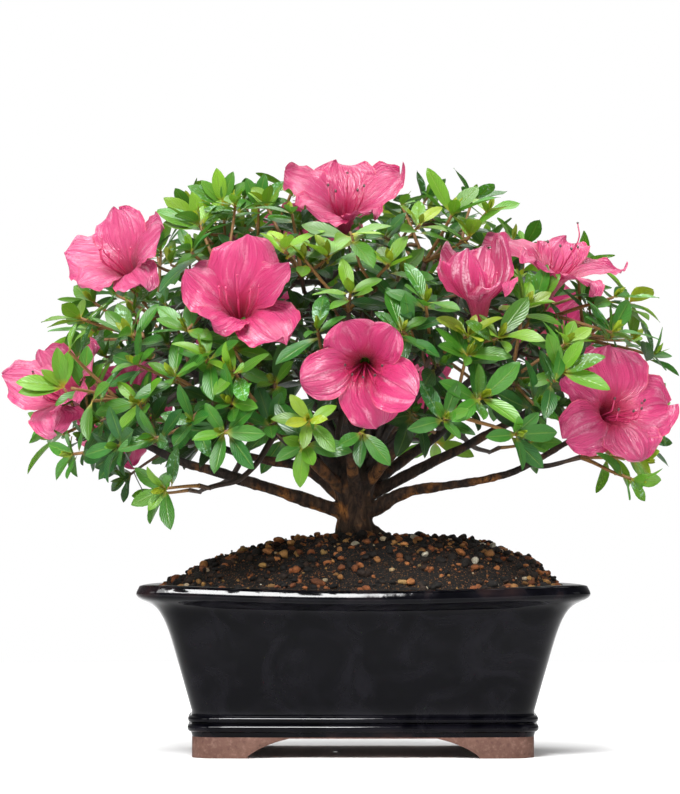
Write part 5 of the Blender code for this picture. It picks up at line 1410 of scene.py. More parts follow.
def pot_body(glaze, clay):
    """The glazed body, round which the foot's beads run, with a soft lip and its two drain holes."""
    outer = [(FOOT_INSET, BODY_BOTTOM)]
    for middle, radius in BASE_BEADS:
        turns = [math.radians(a) for a in range(-80, 81, 20)]
        outer += [(BEAD_INSET - radius * math.cos(a), middle + radius * math.sin(a)) for a in turns]
    outer += [(inset, z) for z, inset in smooth_path(OUTER_PROFILE, 4)]
    inner = [(inset, z) for z, inset in smooth_path(INNER_PROFILE, 4)]
    start, top = outer[-1]
    rings = [pot_ring(inset, z, OUTER_CORNER_RADIUS) for inset, z in outer]
    for s in LIP_SHARES:
        inset, z = start + (inner[0][0] - start) * s, top + LIP_CROWN * math.sin(math.pi * s)
        radius = OUTER_CORNER_RADIUS + (INNER_CORNER_RADIUS - OUTER_CORNER_RADIUS) * s
        rings.append(pot_ring(inset, z, radius))
    rings += [pot_ring(inset, z, INNER_CORNER_RADIUS) for inset, z in inner]
    body = plain_object("pot_body", skin_rings(rings, False))
    for side in (-1, 1):
        work = bmesh.new()
        place = Matrix.Translation(POT_CENTRE + Vector((side * DRAIN_X, 0, FLOOR_TOP)))
        bmesh.ops.create_cone(work, cap_ends=True, segments=40, radius1=DRAIN_RADIUS, radius2=DRAIN_RADIUS,
                              depth=DRAIN_CUT, matrix=place)
        carve(body, plain_object("drain", work))
    paint(body, glaze, clay)
    for face in body.data.polygons:
        face.material_index = int(face.center.z < GLAZE_END)
    dress(body, "glaze", "pot")


def pot_feet(clay):
    """The bare clay feet: one low wall with an arch cut through each side."""
    inner = FOOT_INSET + FOOT_THICKNESS
    corners = (
        (inner, FOOT_TOP, FOOT_INNER_RADIUS), (FOOT_INSET, FOOT_TOP, OUTER_CORNER_RADIUS),
        (FOOT_INSET, 0.0, OUTER_CORNER_RADIUS), (inner, 0.0, FOOT_INNER_RADIUS),
    )
    feet = plain_object("pot_feet", skin_rings([pot_ring(*row, sag=False) for row in corners], True))
    carve(feet, arch_prism(LONG_ARCH_HALF, "Y"))
    carve(feet, arch_prism(SHORT_ARCH_HALF, "X"))
    soft = feet.modifiers.new("soft", "BEVEL")
    soft.width = FOOT_ROUNDING
    soft.segments = 2
    soft.limit_method = "ANGLE"
    soft.angle_limit = math.radians(40)
    settle(feet)
    paint(feet, clay)
    dress(feet, "glaze")


def soil_height(x, y):
    """The height of the soil, from the pot's centre: a mound that is fuller to the right."""
    away_x, away_y = abs(x) / SOIL_HALF_LENGTH, abs(y) / SOIL_HALF_DEPTH
    rho = (away_x**SOIL_SQUARENESS + away_y**SOIL_SQUARENESS) ** (1 / SOIL_SQUARENESS)
    lump = math.sin(310 * x + 2.0) * math.sin(290 * y + 1.0) + 0.6 * math.sin(530 * x + 470 * y)
    edge = RIM_HEIGHT - SOIL_EDGE_DROP
    shoulder, mound = max(0.0, 1 - rho**8), max(0.0, 1 - rho**2)
    return edge + shoulder * (SOIL_SHOULDER + SOIL_TILT * x + SOIL_LUMP * lump) + SOIL_MOUND * mound


def inner_inset(height):
    """How far the pot's inner wall stands in from the rim's outer line at a height."""
    rows = sorted(INNER_PROFILE)
    return float(np.interp(height, [z for z, _ in rows], [inset for _, inset in rows]))


def earth_point(x, y):
    """A point of the crumbly soil's top, from the pot's centre."""
    rough = layered_noise(Vector((x, y, 0)), SOIL_ROUGHNESS[:2])
    return Vector((x, y, soil_height(x, y) + float(rough)))


def fine_soil(earth):
    """The rough top of the soil, down to a little below the rim."""
    edge = RIM_HEIGHT - SOIL_EDGE_DROP
    wall = pot_ring(inner_inset(edge) + GAP, edge, INNER_CORNER_RADIUS)
    wall = [Vector((p.x - POT_CENTRE.x, p.y - POT_CENTRE.y, p.z)) for p in wall]
    rows = [[Vector((p.x, p.y, p.z - 0.006)) for p in wall], wall]
    for share in 1 - (np.arange(1, SOIL_STEPS) / SOIL_STEPS) ** 1.15:
        rows.append([Vector((p.x * share, p.y * share, soil_height(p.x * share, p.y * share))) for p in wall])
    points = np.array(rows)
    inside = np.clip((np.arange(len(points)) - 1) / 3, 0, 1)[:, None]
    points[..., 2] += layered_noise(points * (1, 1, 0), SOIL_ROUGHNESS) * inside
    skin = Skin()
    skin.grid(points + np.array(POT_CENTRE), wrap=True)
    dress(skin.make("soil_bed", earth), "soil", "soil")


def ball(level):
    """The points and faces of a ball made of triangles."""
    work = bmesh.new()
    bmesh.ops.create_icosphere(work, subdivisions=level, radius=1.0)
    points = np.array([v.co for v in work.verts])
    faces = np.array([[v.index for v in face.verts] for face in work.faces])
    work.free()
    return points, faces


def crumb_spot(draw):
    """A place on the soil, from the pot's centre: even over a rectangle with round corners."""
    angle, out = draw.uniform(0, math.tau), math.sqrt(draw.random())
    x, y = math.cos(angle), math.sin(angle)
    square = (abs(x) ** 4 + abs(y) ** 4) ** 0.25
    half_x, half_y = RIM_HALF_LENGTH - CRUMB_INSET, RIM_HALF_DEPTH - CRUMB_INSET
    return x / square * out * half_x, y / square * out * half_y


def crumbs(material):
    """Loose crumbs and grit over the soil, each a dented ball half sunk in it."""
    draw = random.Random(SEED + 1)
    small, large = ball(1), ball(2)
    least, more, favour = CRUMB_RADIUS
    skin = Skin()
    for n in range(CRUMB_COUNT):
        x, y = crumb_spot(draw)
        if math.hypot(x - TRUNK_SPOT[0], y) < TRUNK_SPOT[1]:
            continue
        kind = draw.random()
        size = least + more * draw.random() ** favour
        # Pale grit, fired clay, or bark and peat.
        if kind > 0.95:
            tint = draw.uniform(0.84, 1.0)
        elif kind > 0.64:
            tint = draw.uniform(0.58, 0.86)
            size *= 1.2
        else:
            tint = draw.uniform(0.0, 0.5)
            size *= 1.1
        points, faces = small if size < COARSE_CRUMB else large
        dents = 1 + 0.42 * lattice_noise(points + n * 3.7, 0.9, n)
        stretch = np.array([draw.uniform(0.75, 1.35), draw.uniform(0.7, 1.1), draw.uniform(0.55, 0.95)])
        shaped = points * dents[:, None] * stretch * size
        spin = Matrix.Rotation(draw.uniform(0, 6.3), 3, "Z")
        turn = np.array(spin @ Matrix.Rotation(draw.uniform(-0.6, 0.6), 3, "X"))
        place = POT_CENTRE + earth_point(x, y) + UP * size * draw.uniform(0.0, 0.55)
        skin.patch(shaped @ turn.T + np.array(place), faces, (0, 0), (tint, draw.random(), 0))
    dress(skin.make("soil_crumbs", material), "soil")


def wander(path, amount, size, seed):
    """Bends a path a little from side to side, except at its ends."""
    path = np.asarray(path, float)
    ease = np.sin(np.linspace(0, math.pi, len(path)))[:, None]
    shift = np.stack([lattice_noise(path, size, seed + n) for n in range(3)], axis=-1)
    return path + shift * ease * amount


def branch_skin(skin, rows, steps, sides, rough, seed, tint=(1, 0, 0)):
    """Adds a branch through points of x, y, z and radius, smooth, uneven and slightly crooked."""
    rows = np.array(smooth_path(rows, steps))
    path = wander(rows[:, :3], rough * 1.2, 0.018, seed)
    knots = 1 + 0.10 * lattice_noise(path, 0.007, seed + 9)
    skin.tube(path, rows[:, 3] * knots, sides, tint)


def fan_rows():
    """Thin bare branches that rise from the head of the trunk and spread among the limbs."""
    draw = random.Random(SEED + 5)
    for _ in range(FAN_COUNT):
        foot = (draw.uniform(-0.008, 0.002), draw.uniform(-0.004, 0.004), draw.uniform(0.118, 0.140))
        start = POT_CENTRE + Vector(foot)
        lean, around = math.radians(draw.uniform(4, 52)), draw.uniform(0, math.tau)
        out = Vector((math.cos(around), math.sin(around) * 0.8, 0)) * math.sin(lean)
        length = draw.uniform(0.040, 0.066)
        end = start + (out + UP * math.cos(lean)) * length
        bend = start.lerp(end, 0.5) + UP * length * 0.08
        yield [(*point, radius) for point, radius in zip((start, bend, end), FAN_RADII)]


def root_rows(angle, reach, radius):
    """A surface root, as points with radii: out of the trunk and down into the soil."""
    out = Vector((math.cos(math.radians(angle)), math.sin(math.radians(angle)), 0))
    start = POT_CENTRE + Vector((TRUNK_SPOT[0], 0, 0)) + out * 0.003
    for share, lift, size in ROOT_COURSE:
        place = start + out * reach * share
        ground = soil_height(place.x - POT_CENTRE.x, place.y - POT_CENTRE.y)
        yield place.x, place.y, ground + lift * (1 - ROOT_DROP * share), radius * size


def read_points(mesh, what):
    """Where each of a mesh's points is, or which way it faces."""
    found = np.zeros(len(mesh.vertices) * 3)
    mesh.vertices.foreach_get(what, found)
    return found.reshape(-1, 3)


def fine_wood(bark):
    """The trunk with its roots and limbs: one skin, with the bark's relief on it."""
    skin = Skin()
    branch_skin(skin, trunk_points(TRUNK_SWELL), 6, 26, 0.0008, 1)
    for n, name in enumerate(LIMBS):
        rows = [(*row[:3], row[3] * LIMB_SLIMNESS) for row in limb_points(name)]
        branch_skin(skin, rows, 7, 14, 0.0010, 20 + n)
    for n, root in enumerate(ROOTS):
        branch_skin(skin, list(root_rows(*root)), 6, 12, 0.0012, 60 + n)
    wood = skin.make("wood_rough", bark)
    remesh = wood.modifiers.new("join", "REMESH")
    remesh.mode = "VOXEL"
    remesh.voxel_size = WOOD_VOXEL
    settle(wood)
    mesh = wood.data
    points, normals = read_points(mesh, "co"), read_points(mesh, "normal")
    thick = np.clip((0.150 - points[:, 2]) / 0.05, 0.25, 1)
    rough = layered_noise(points * (1, 1, 0.3), ((0.0042, 0.55, 7), (0.0018, 0.45, 8)))
    rough = np.sign(rough) * np.abs(rough) ** 0.8
    points += normals * (rough * BARK_DEPTH * thick)[:, None]
    mesh.vertices.foreach_set("co", points.ravel())
    mesh.update()
    mesh.materials.clear()
    mesh.materials.append(bark)
    mesh.shade_smooth()
    wood.name = "trunk_and_limbs"
    dress(wood, "bark", "trunk_and_branches")


def side_branches(twig, twigs):
    """The side branches that carry what grows, and the bare fan above the trunk."""
    skin = Skin()
    # Side branches and the fan take the darkest end of the twig colours, partly as old wood and partly as
    # painted shade of the crown's inside.
    for n, rows in enumerate(twigs):
        start, bend, end = (np.array(row) for row in rows)
        flatter = bend * 0.45 + (start + end) * 0.275
        branch_skin(skin, [start, flatter, end], 7, 7, 0.0014, 100 + n, (0.9, 0, 0))
    for n, rows in enumerate(fan_rows()):
        branch_skin(skin, rows, 5, 7, 0.0022, 300 + n, (1.0, 0, 0))
    dress(skin.make("side_branches", twig), "bark")


# Leaves.


def leaf_grid(root, along, around, face, length, bend, fold, twist, wave):
    """A leaf's points: widest past its middle, folded along its midrib, and pointed."""
    t = np.array(LEAF_ALONG)[:, None]
    side = np.array(LEAF_SIDES)[None, :]
    length = length * LEAF_GROWN
    half = LEAF_HALF * length * np.array(LEAF_WIDTHS)[:, None]
    turn = twist * t
    flat, rise = side * half * math.cos(fold), np.abs(side) * half * math.sin(fold)
    rise = rise + wave * length * 0.02 * np.sin(9 * t + side * 2) * np.abs(side)
    aside = flat * np.cos(turn) - rise * np.sin(turn) + 0.06 * wave * length * t**2
    up = flat * np.sin(turn) + rise * np.cos(turn) + length * bend * t * t
    forward = length * (t - 0.12 * abs(bend) * t * t) + 0 * side
    axes = [np.array(axis) for axis in (along, around, face)]
    return np.array(root) + sum(part[..., None] * axis for part, axis in zip((forward, aside, up), axes))


LEAF_UV = np.stack(np.meshgrid((np.array(LEAF_SIDES) + 1) / 2, LEAF_ALONG), axis=-1)


class Blocks:
    """The flowers, as spheres that leaves keep clear of and don't hide from the front."""

    def __init__(self, beads):
        self.rows = np.array(beads.rows)
        self.eye = np.array(POT_CENTRE + Vector(CAMERA_PLACE))
        feet = {bloom[0]: (bloom_base(bloom)[0], bloom[3]) for bloom in BLOOMS if bloom[0] in LOBE_FORMS}
        seen = []
        for row, name in zip(beads.rows, beads.names):
            if name in feet and (Vector(row[:3]) - feet[name][0]).length > TUBE_SHARE * feet[name][1]:
                seen.append(row[:3])
        seen = np.array(seen)
        self.away = np.linalg.norm(seen - self.eye, axis=1)
        self.rays = (seen - self.eye) / self.away[:, None]

    def free(self, points, radius):
        """True if spheres here would touch no flower."""
        away = np.linalg.norm(self.rows[None, :, :3] - np.array(points)[:, None, :], axis=-1)
        return bool((away - self.rows[:, 3]).min() > radius)

    def hides(self, points):
        """True if one of these points stands before a flower, as seen from the front."""
        sight = np.array(points) - self.eye
        run = sight @ self.rays.T
        off = np.linalg.norm(sight[:, None, :] - run[..., None] * self.rays[None], axis=-1)
        return bool(((off < FLOWER_VIEW) & (run < self.away[None] - 0.002)).any())


def add_leaf(skin, blocks, root, axis, angle, tilt, length, bend, age, draw, light=1.0, further=False):
    """Adds one leaf unless it would run into a flower, tilting it away first if that helps."""
    for turn, size in FINE_TRIES:
        along, around, face = leaf_frame(axis, angle, 0, tilt + turn)
        line = [leaf_point(root, along, face, length * size, bend, t) for t in FINE_PLACES]
        if blocks.free(line, FINE_ROOM) and not blocks.hides(line) and not (further and in_gap(line[1])):
            break
    else:
        return
    # The tint's second number is a random tone times the painted shade of the crown's inside.
    tint = (clamp(age), draw.uniform(0.45, 1.0) * light, draw.random())
    fold, twist = math.radians(draw.uniform(6, 26)), draw.uniform(-0.5, 0.5)
    points = leaf_grid(root, along, around, face, length * size, bend, fold, twist, draw.uniform(-1, 1))
    skin.grid(points, LEAF_UV, tint)


def add_seen_whorl(skin, whorl, draw):
    """Leaves that are placed one by one, by their turn as seen from the front."""
    for turn, length in whorl["seen"]:
        turn = math.radians(turn)
        along = Vector((math.cos(turn), -0.30, math.sin(turn))).normalized()
        around = along.cross(Vector((0.0, -0.85, 0.5))).normalized()
        face = around.cross(along)
        tint = (min(1.0, whorl["age"] + draw.uniform(-0.1, 0.15)), draw.uniform(0.6, 1.0), draw.random())
        points = leaf_grid(whorl["tip"], along, around, face, length / 1000, -0.12, 0.3, 0.1, 0.5)
        skin.grid(points, LEAF_UV, tint)


def add_whorl(skin, blocks, whorl, draw):
    """The leaves round a shoot's tip, oldest and lowest first, and its bud of folded young leaves."""
    axis, tip, length, age = whorl["axis"], whorl["tip"], whorl["length"], whorl["age"]
    # Painted shade: leaves of whorls deeper in the crown get a darker tint.
    light = max(0.05, 1 - 1.15 * whorl.get("depth", 0.0))
    further = "owner" in whorl
    taken = []
    for side, tilt, size, bend in whorl.get("leaves", ()):
        angle = whorl["phase"] + side * math.tau / SHOOT_SIDES
        taken.append(angle)
        add_leaf(skin, blocks, tip, axis, angle, tilt, size, bend, age + draw.uniform(-0.1, 0.15), draw)
    angle = whorl["phase"]
    lowest, fall, stray = SPIRAL_TILT
    for n in range(whorl["count"]):
        angle += GOLDEN_ANGLE
        if any(abs(math.remainder(angle - old, math.tau)) < 0.5 for old in taken):
            continue
        share = n / max(1, whorl["count"] - 1)
        tilt = math.radians(lowest - fall * share + draw.uniform(-stray, stray))
        size = length * (SPIRAL_SIZE[0] - SPIRAL_SIZE[1] * share) * draw.uniform(0.85, 1.1)
        root = tip - axis * (SPIRAL_HEIGHT * (1 - share))
        bend = draw.uniform(-0.28, 0.10)
        own_age = age + 0.22 - 0.34 * share
        add_leaf(skin, blocks, root, axis, angle, tilt, size, bend, own_age, draw, light, further)
    for n in range(3):
        angle += GOLDEN_ANGLE
        size = length * draw.uniform(0.26, 0.46)
        tilt = math.radians(draw.uniform(8, 26))
        add_leaf(skin, blocks, tip, axis, angle, tilt, size, draw.uniform(0.0, 0.2), age - 0.45, draw, light)


class Stems:
    """Places where a further twig may start, each with the spray that owns it."""

    def __init__(self, sprays, twigs):
        self.places = [(place, None) for place, _ in limb_rows()]
        for twig in twigs:
            self.places += [(point, None) for point in path_beads(twig, START_SPACING)]
        for n, spray in enumerate(sprays):
            self.places += [(point, n) for point in path_beads(spray["twig"], START_SPACING)]
            for shoot in spray["shoots"]:
                self.places += [(spray["fork"].lerp(shoot["tip"], t), n) for t in (0.0, 0.3, 0.6)]
        self.forks = np.array([spray["fork"] for spray in sprays])

    def twig_to(self, place, axis, outward):
        """A twig's path to a place from the best start near it, and its owner, or nothing."""
        best = None
        for start, owner in self.places:
            reach = place - start
            if not SHORTEST_FURTHER < reach.length < LONGEST_FURTHER:
                continue
            cost = reach.length * (1.15 - 0.6 * reach.normalized().dot(outward))
            if best is None or cost < best[0]:
                best = (cost, start, owner)
        if best is None:
            return None, None
        _, start, owner = best
        bend = start.lerp(place, 0.55) - axis * (place - start).length * 0.14
        if owner is None:
            owner = int(np.argmin(np.linalg.norm(self.forks - np.array(place), axis=1)))
        return [start, bend, place], owner

    def add(self, path, owner):
        """Lets further twigs start from a new one."""
        self.places += [(path[0].lerp(path[1], 0.6), owner), (path[1].lerp(path[2], 0.4), owner)]


def shell_places(draw):
    """Places for further whorls from the middle of the crown outward, and how deep each lies."""
    for low, high, spacing, count in SHELLS:
        depth = clamp((1.0 - (low + high) / 2) / 0.45)
        for _ in range(count * SHELL_TRIES):
            way = Vector((draw.gauss(0, 1), draw.gauss(0, 1), draw.gauss(0.25, 1))).normalized()
            # Deeper whorls lean towards the deep age: partly old leaves, partly painted shade.
            age = draw.choice(SHELL_AGES) * (1 - depth) + DEEP_AGE_AND_SHADE * depth
            place = crown_point(way, draw.uniform(low, high))
            if draw.random() < (place.z - SHELL_RISE[0]) / (SHELL_RISE[1] - SHELL_RISE[0]):
                yield place, spacing, depth, age


def in_gap(place):
    """Whether a place is in one of the gaps that the crown shows from the front."""
    place = place - POT_CENTRE
    share = -CAMERA_PLACE[1] / (place.y - CAMERA_PLACE[1])
    seen_x = CAMERA_PLACE[0] + (place.x - CAMERA_PLACE[0]) * share
    seen_z = CAMERA_PLACE[2] + (place.z - CAMERA_PLACE[2]) * share
    return any(math.hypot(seen_x - x, seen_z - z) < radius for x, z, radius in GAPS)


def fill_crown(sprays, twigs, blocks):
    """Further whorls: those that show deep in the crown's front, then the shells."""
    draw = random.Random(SEED + 2)
    stems = Stems(sprays, twigs)
    tips = [shoot["tip"] for spray in sprays for shoot in spray["shoots"]]
    deep = [(front_place(x, z, share), DEEP_SPACING, DEEP_SHADE, age) for x, z, share, age in DEEP_WHORLS]
    found = []
    for place, spacing, depth, age in itertools.chain(deep, shell_places(draw)):
        if not in_crown(place - POT_CENTRE) or not blocks.free([place], WHORL_ROOM):
            continue
        if min((tip - place).length for tip in tips) < spacing or blocks.hides([place]) or in_gap(place):
            continue
        axis = (shoot_axis(place) + Vector([draw.uniform(-0.3, 0.3) for _ in range(3)])).normalized()
        path, owner = stems.twig_to(place, axis, outward_at(place))
        if path is None or not blocks.free([path[0].lerp(place, 0.5), path[1]], TWIG_ROOM):
            continue
        found.append({
            "tip": place, "axis": axis, "phase": draw.uniform(0, 6.3), "length": draw.uniform(*LEAF_LENGTH),
            "age": age, "count": draw.choice(WHORL_COUNTS), "path": path, "owner": owner, "depth": depth,
        })
        tips.append(place)
        stems.add(path, owner)
    for place, age, leaves in SEEN_WHORLS:
        place = POT_CENTRE + Vector(place)
        path, owner = stems.twig_to(place, UP, Vector((0, -1, 0.4)).normalized())
        found.append({"tip": place, "age": age, "path": path, "owner": owner, "depth": 0.0, "seen": leaves})
    return found


def sized(points, radii):
    """Points with their radii, as a branch takes them."""
    return [(*point, radius) for point, radius in zip(points, radii)]


def fine_sprays(leaf, twig, sprays, twigs, blocks):
    """Every spray with its own shoots and the further whorls that grow near it."""
    more = fill_crown(sprays, twigs, blocks)
    for n, spray in enumerate(sprays):
        draw = random.Random(SEED * 100 + n)
        leaves, stems = Skin(), Skin()
        root, fork = spray["root"], spray["fork"]
        rows = sized([root - spray["arrive"] * 0.001, root, fork], STEM_RADII)
        branch_skin(stems, rows, 3, 7, 0.0, n, (0.75, 0, 0))
        for shoot in spray["shoots"]:
            row, tip = shoot["row"], shoot["tip"]
            shoot["age"] = draw.choice(SHOOT_AGES) if row is None else FRONT_AGES[row]
            shoot["count"] = draw.choice(WHORL_COUNTS)
            rows = sized([fork, fork.lerp(tip, 0.5), tip], SHOOT_RADII)
            branch_skin(stems, rows, 4, 6, 0.0006, n, (0.35, 0, 0))
            add_whorl(leaves, blocks, shoot, draw)
        for whorl in more:
            if whorl["owner"] != n:
                continue
            rows = sized(whorl["path"], FURTHER_RADII)
            # Painted shade: twigs of deeper whorls get a larger first tint number, which darkens them as if
            # they were older.
            branch_skin(stems, rows, 5, 6, 0.0008, n, (0.35 + 0.5 * whorl["depth"], 0, 0))
            if "seen" in whorl:
                add_seen_whorl(leaves, whorl, draw)
            else:
                add_whorl(leaves, blocks, whorl, draw)
        dress(leaves.make(f"leaves_{n + 1:02d}", leaf), "leaf", f"spray_{n + 1:02d}")
        dress(stems.make(f"stems_{n + 1:02d}", twig), "leaf")


# Flowers.


def fine_corolla(skin, bloom):
    """The five lobes of a flower and their shared tube, finely pleated and ruffled."""
    number = BLOOMS.index(bloom)
    rough = CRUMPLED.get(bloom[0], 1.0)
    across = bloom[3]
    rows = np.concatenate([np.linspace(0, NOTCH_AT, 9), NOTCH_AT + (1 - NOTCH_AT) * PETAL_ROWS])
    sides = np.sin(np.linspace(-1, 1, PETAL_COLUMNS) * math.pi / 2)
    axis = np.array(Vector(bloom[2]).normalized())
    for lobe in range(LOBES):
        points = np.array([[corolla_point(bloom, lobe, along, side) for side in sides] for along in rows])
        u = np.clip((rows - NOTCH_AT) / (1 - NOTCH_AT), 0, 1)[:, None]
        side = sides[None, :]
        seed = number * 7 + lobe
        crumple = lattice_noise(points, 0.011, seed) * 0.0017 * u
        crumple = (crumple + lattice_noise(points, 0.0045, seed + 50) * 0.0006 * u) * rough
        frill = np.abs(side) ** 3 * u * 0.0013 * np.sin(26 * u + 3.1 * lobe + number + (side > 0) * 1.7)
        ridges = 0.00035 * np.sin(side * 17 + 2 * u) * np.sin(math.pi * u) * (np.abs(side) < 0.8)
        points = points + (crumple + frill + ridges)[..., None] * axis
        along = np.broadcast_to(rows[:, None], points.shape[:2])
        across_share = np.broadcast_to((side + 1) / 2, points.shape[:2])
        tint = np.stack([along, across_share, np.full(points.shape[:2], lobe / LOBES)], axis=-1)
        skin.grid(points, np.stack([across_share, along], axis=-1), tint)


def fine_bloom(bloom, petal, green, thread, anther):
    """A flower with its stalk, sepals, stamens and style."""
    name = bloom[0]
    skin = Skin()
    fine_corolla(skin, bloom)
    corolla = skin.make(name + "_corolla", petal)
    work = bmesh.new()
    work.from_mesh(corolla.data)
    bmesh.ops.remove_doubles(work, verts=work.verts, dist=SEAM)
    work.to_mesh(corolla.data)
    work.free()
    corolla.data.shade_smooth()
    dress(corolla, "petal", name)
    threads, tips = stamens(bloom)
    dress(threads.make(name + "_threads", thread), "petal")
    dress(tips.make(name + "_anthers", thread if name in PALE_ANTHERS else anther), "petal")
    stalk = Skin()
    base, axis = bloom_base(bloom)
    root, _ = bloom_root(bloom)
    stalk.tube([root - axis * 0.001, root + axis * 0.004, base - axis * 0.001, base + axis * 0.0015],
               STALK_RADII, 9, STALK_TINT)
    for n in range(LOBES):
        angle = math.tau * n / LOBES + 0.4
        along, around, face = leaf_frame(axis, angle, 0, math.radians(34))
        foot = base - axis * 0.0008 + along * 0.0008
        points = leaf_grid(foot, along, around, -face, SEPAL_LENGTH, -0.22, 0.3, 0.0, 0.2)
        stalk.grid(points, LEAF_UV, SEPAL_TINT)
    dress(stalk.make(name + "_stalk", green), "petal")


def stamens(bloom):
    """A flower's stamens and, last, its style: the threads, and what is at their tips."""
    _, _, _, across, _, spread = bloom
    base, axis = bloom_base(bloom)
    level, high = square_axes(axis)
    draw = random.Random(SEED + BLOOMS.index(bloom))
    reach = COROLLA_LENGTH * across
    threads, tips = Skin(), Skin()
    count = 5 if spread > 40 else 2
    # Turn in degrees, how far the thread stands out, its length and half its tip's length.
    rows = [(200 + 140 * n / max(1, count - 1), 0.20, draw.uniform(0.66, 0.80), 0.0008) for n in range(count)]
    for turn, wide, long, half in [*rows, (270, 0.16, 0.96, 0.0004)]:
        angle = math.radians(turn)
        out = (level * math.cos(angle) + high * math.sin(angle)) * reach * wide
        length = reach * long
        lift = high * reach * 0.10
        course = [base, base + axis * length * 0.5 + out * 0.45, base + axis * length * 0.85 + out * 0.9]
        path = smooth_path([*course, base + axis * length + out + lift], 5)
        threads.tube(path, np.linspace(*THREAD_RADII, len(path)), 6)
        end, way = Vector(path[-1]), Vector(path[-1] - path[-2]).normalized() * half
        tips.tube([end - way, end - way * 0.4, end + way * 0.4, end + way], ANTHER_RADII, 8)
    return threads, tips


def fine_bud(bud, petal, green):
    """A closed bud: petals wound round each other to a point, with sepals at the foot."""
    name, place, faces, length = bud
    place, axis = POT_CENTRE + Vector(place), Vector(faces).normalized()
    level, high = square_axes(axis)
    t = np.linspace(0, 1, 15)[:, None]
    angle = np.linspace(0, math.tau, 24, endpoint=False)[None, :]
    radius = 0.23 * length * np.sin(math.pi * np.clip(t * 0.86 + 0.09, 0, 1)) ** 0.8 * (1 - 0.35 * t)
    wound = radius * (1 + 0.10 * np.cos(5 * (angle - 2.2 * t)) - 0.10 * np.cos(2 * angle) * t)
    run = (t - 0.5) * length + 0 * angle
    points = np.array(place) + run[..., None] * np.array(axis)
    points = points + (wound * np.cos(angle))[..., None] * np.array(level)
    points = points + (wound * np.sin(angle))[..., None] * np.array(high)
    bands = (np.sin(5 * (angle - 2.2 * t)) + 1) / 2
    tint = np.stack([0.55 + 0.45 * t + 0 * angle, bands, 0 * run], axis=-1)
    skin = Skin()
    skin.grid(points, tint[..., :2], tint, True)
    dress(skin.make(name + "_petals", petal), "petal", name)
    stalk = Skin()
    root, _ = bud_root(bud)
    foot = place - axis * length * 0.46
    stalk.tube([root - axis * 0.001, root.lerp(foot, 0.5), foot, foot + axis * 0.0015],
               BUD_STALK_RADII, 9, STALK_TINT)
    for n in range(LOBES):
        along, around, face = leaf_frame(axis, math.tau * n / LOBES, 0, math.radians(30))
        points = leaf_grid(foot, along, around, -face, length * 0.36, -0.30, 0.3, 0.0, 0.1)
        stalk.grid(points, LEAF_UV, SEPAL_TINT)
    dress(stalk.make(name + "_stalk", green), "petal")


# The room, the light and the camera.


def floor_material():
    """A matte pale floor with a faint mottle."""
    made, tree, shader = surface("floor")
    pattern = speckle(tree, FLOOR_GRAIN, 4.0, 0.65)
    shade = blend(tree, pattern, FLOOR_COLOUR, tuple(c * 0.97 for c in FLOOR_COLOUR))
    attach(tree, shader, shade, levels(tree, pattern, 0.3, 0.7, 0.9, 0.8), bump(tree, pattern, 0.3, 0.0002))
    return made


def backdrop_material():
    """Plain white that needs no light."""
    made = bpy.data.materials.new("backdrop")
    made.use_nodes = True
    tree = made.node_tree
    tree.nodes.clear()
    glow = tree.nodes.new("ShaderNodeEmission")
    glow.inputs["Color"].default_value = (1, 1, 1, 1)
    glow.inputs["Strength"].default_value = 1.0
    out = tree.nodes.new("ShaderNodeOutputMaterial")
    tree.links.new(glow.outputs[0], out.inputs["Surface"])
    return made


def floor_and_backdrop():
    """A pale round floor, and a white backdrop around it that lights nothing and casts no shadow."""
    turns = np.linspace(0, math.tau, 97)
    skin = Skin()
    radii = (0.001, 0.3, 0.8, FLOOR_RADIUS)
    skin.grid([[(radius * math.cos(a), radius * math.sin(a), 0.0) for a in turns] for radius in radii])
    skin.make("floor", floor_material())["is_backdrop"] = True
    skin = Skin()
    rows = []
    for rise in np.linspace(-math.pi / 2, math.pi / 2, 25):
        level, height = BACKDROP_RADIUS * math.cos(rise), BACKDROP_RADIUS * math.sin(rise)
        rows.append([(level * math.cos(a), level * math.sin(a), height) for a in turns[::4]])
    skin.grid(rows)
    backdrop = skin.make("backdrop", backdrop_material())
    backdrop.visible_diffuse = backdrop.visible_glossy = backdrop.visible_transmission = False
    backdrop.visible_volume_scatter = backdrop.visible_shadow = False
    backdrop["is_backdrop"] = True


def look_from(made, place, aim):
    """Turns a lamp or the camera from its place to a point."""
    made.rotation_euler = (Vector(aim) - Vector(place)).to_track_quat("-Z", "Y").to_euler()


def lamp(name, place, size, power):
    """A soft box that looks at the crown."""
    data = bpy.data.lights.new(name, "AREA")
    data.shape = "RECTANGLE"
    data.size, data.size_y = size
    data.energy = power
    made = add_object(name, data)
    made.location = place
    look_from(made, place, LAMP_AIM)
    return made


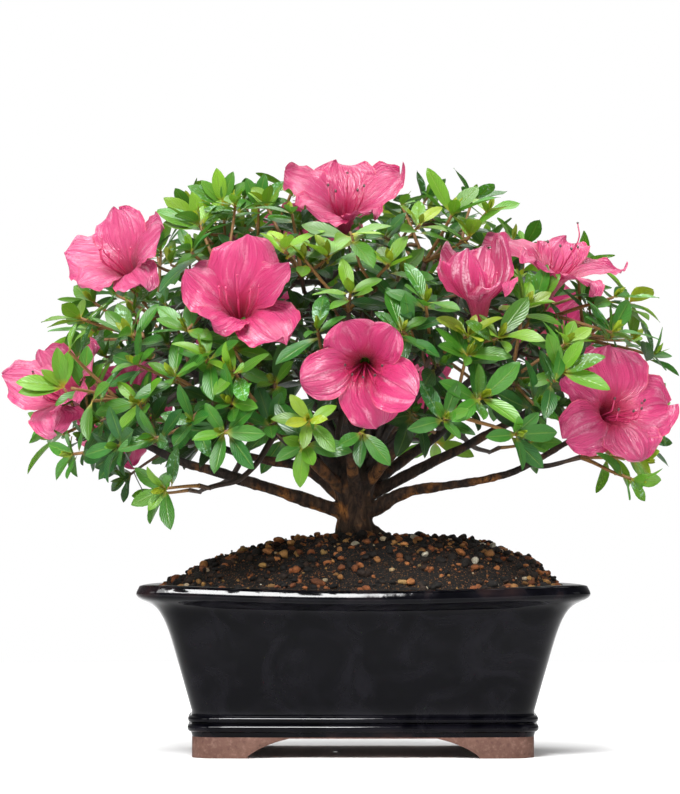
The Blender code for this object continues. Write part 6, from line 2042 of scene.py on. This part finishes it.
def set_light():
    """White light from all around, the soft boxes, and the one that only glossy surfaces show."""
    world = bpy.data.worlds.new("studio")
    bpy.context.scene.world = world
    world.use_nodes = True
    background = world.node_tree.nodes["Background"]
    background.inputs["Color"].default_value = (1, 1, 1, 1)
    background.inputs["Strength"].default_value = WORLD_STRENGTH
    for row in LAMPS:
        lamp(*row)
    lamp("shine", *SHINE).visible_diffuse = False


def set_camera():
    """The camera of the main view, upright in front of the plant."""
    scene = bpy.context.scene
    data = bpy.data.cameras.new("camera")
    data.sensor_fit = "VERTICAL"
    data.sensor_height = SENSOR_HEIGHT
    data.lens = LENS
    data.clip_end = 20
    camera = add_object("camera", data)
    camera.location = POT_CENTRE + Vector(CAMERA_PLACE)
    look_from(camera, CAMERA_PLACE, CAMERA_AIM)
    scene.camera = camera
    scene.view_settings.view_transform = "Standard"


def main():
    """Loads the solids, builds the fine plant and the studio round them, and works out the sizes."""
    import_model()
    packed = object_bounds()
    twigs, sprays = tree_layout()
    bloom_twigs = twigs[:len(twigs) - len(sprays)]
    flowers = Beads()
    flower_beads(flowers)
    leaf, twig, petal = leaf_material(), twig_material(), petal_material()
    glaze, clay = glaze_material(), clay_material()
    pot_body(glaze, clay)
    pot_feet(clay)
    fine_soil(earth_material())
    crumbs(crumb_material())
    fine_wood(bark_material())
    side_branches(twig, twigs)
    fine_sprays(leaf, twig, sprays, bloom_twigs, Blocks(flowers))
    thread = plain_material("thread", (0.46, 0.022, 0.10), 0.45, 500.0)
    anther = plain_material("anther", (0.045, 0.012, 0.010), 0.6, 900.0)
    looks = {name: petal_material("petal_" + name, *look) for name, look in PETAL_LOOKS.items()}
    for bloom in BLOOMS:
        fine_bloom(bloom, looks.get(bloom[0], petal), leaf, thread, anther)
    for bud in BUDS:
        fine_bud(bud, petal, leaf)
    mesh = plain_material("drain_mesh", (0.02, 0.02, 0.02), 0.6, 700.0)
    for name in ("drain_mesh_left", "drain_mesh_right"):
        for slot in bpy.data.objects[name].material_slots:
            slot.material = mesh
    floor_and_backdrop()
    set_light()
    set_camera()
    [[[float(v) for v in corner] for corner in box] for box in (packed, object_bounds())]


main()
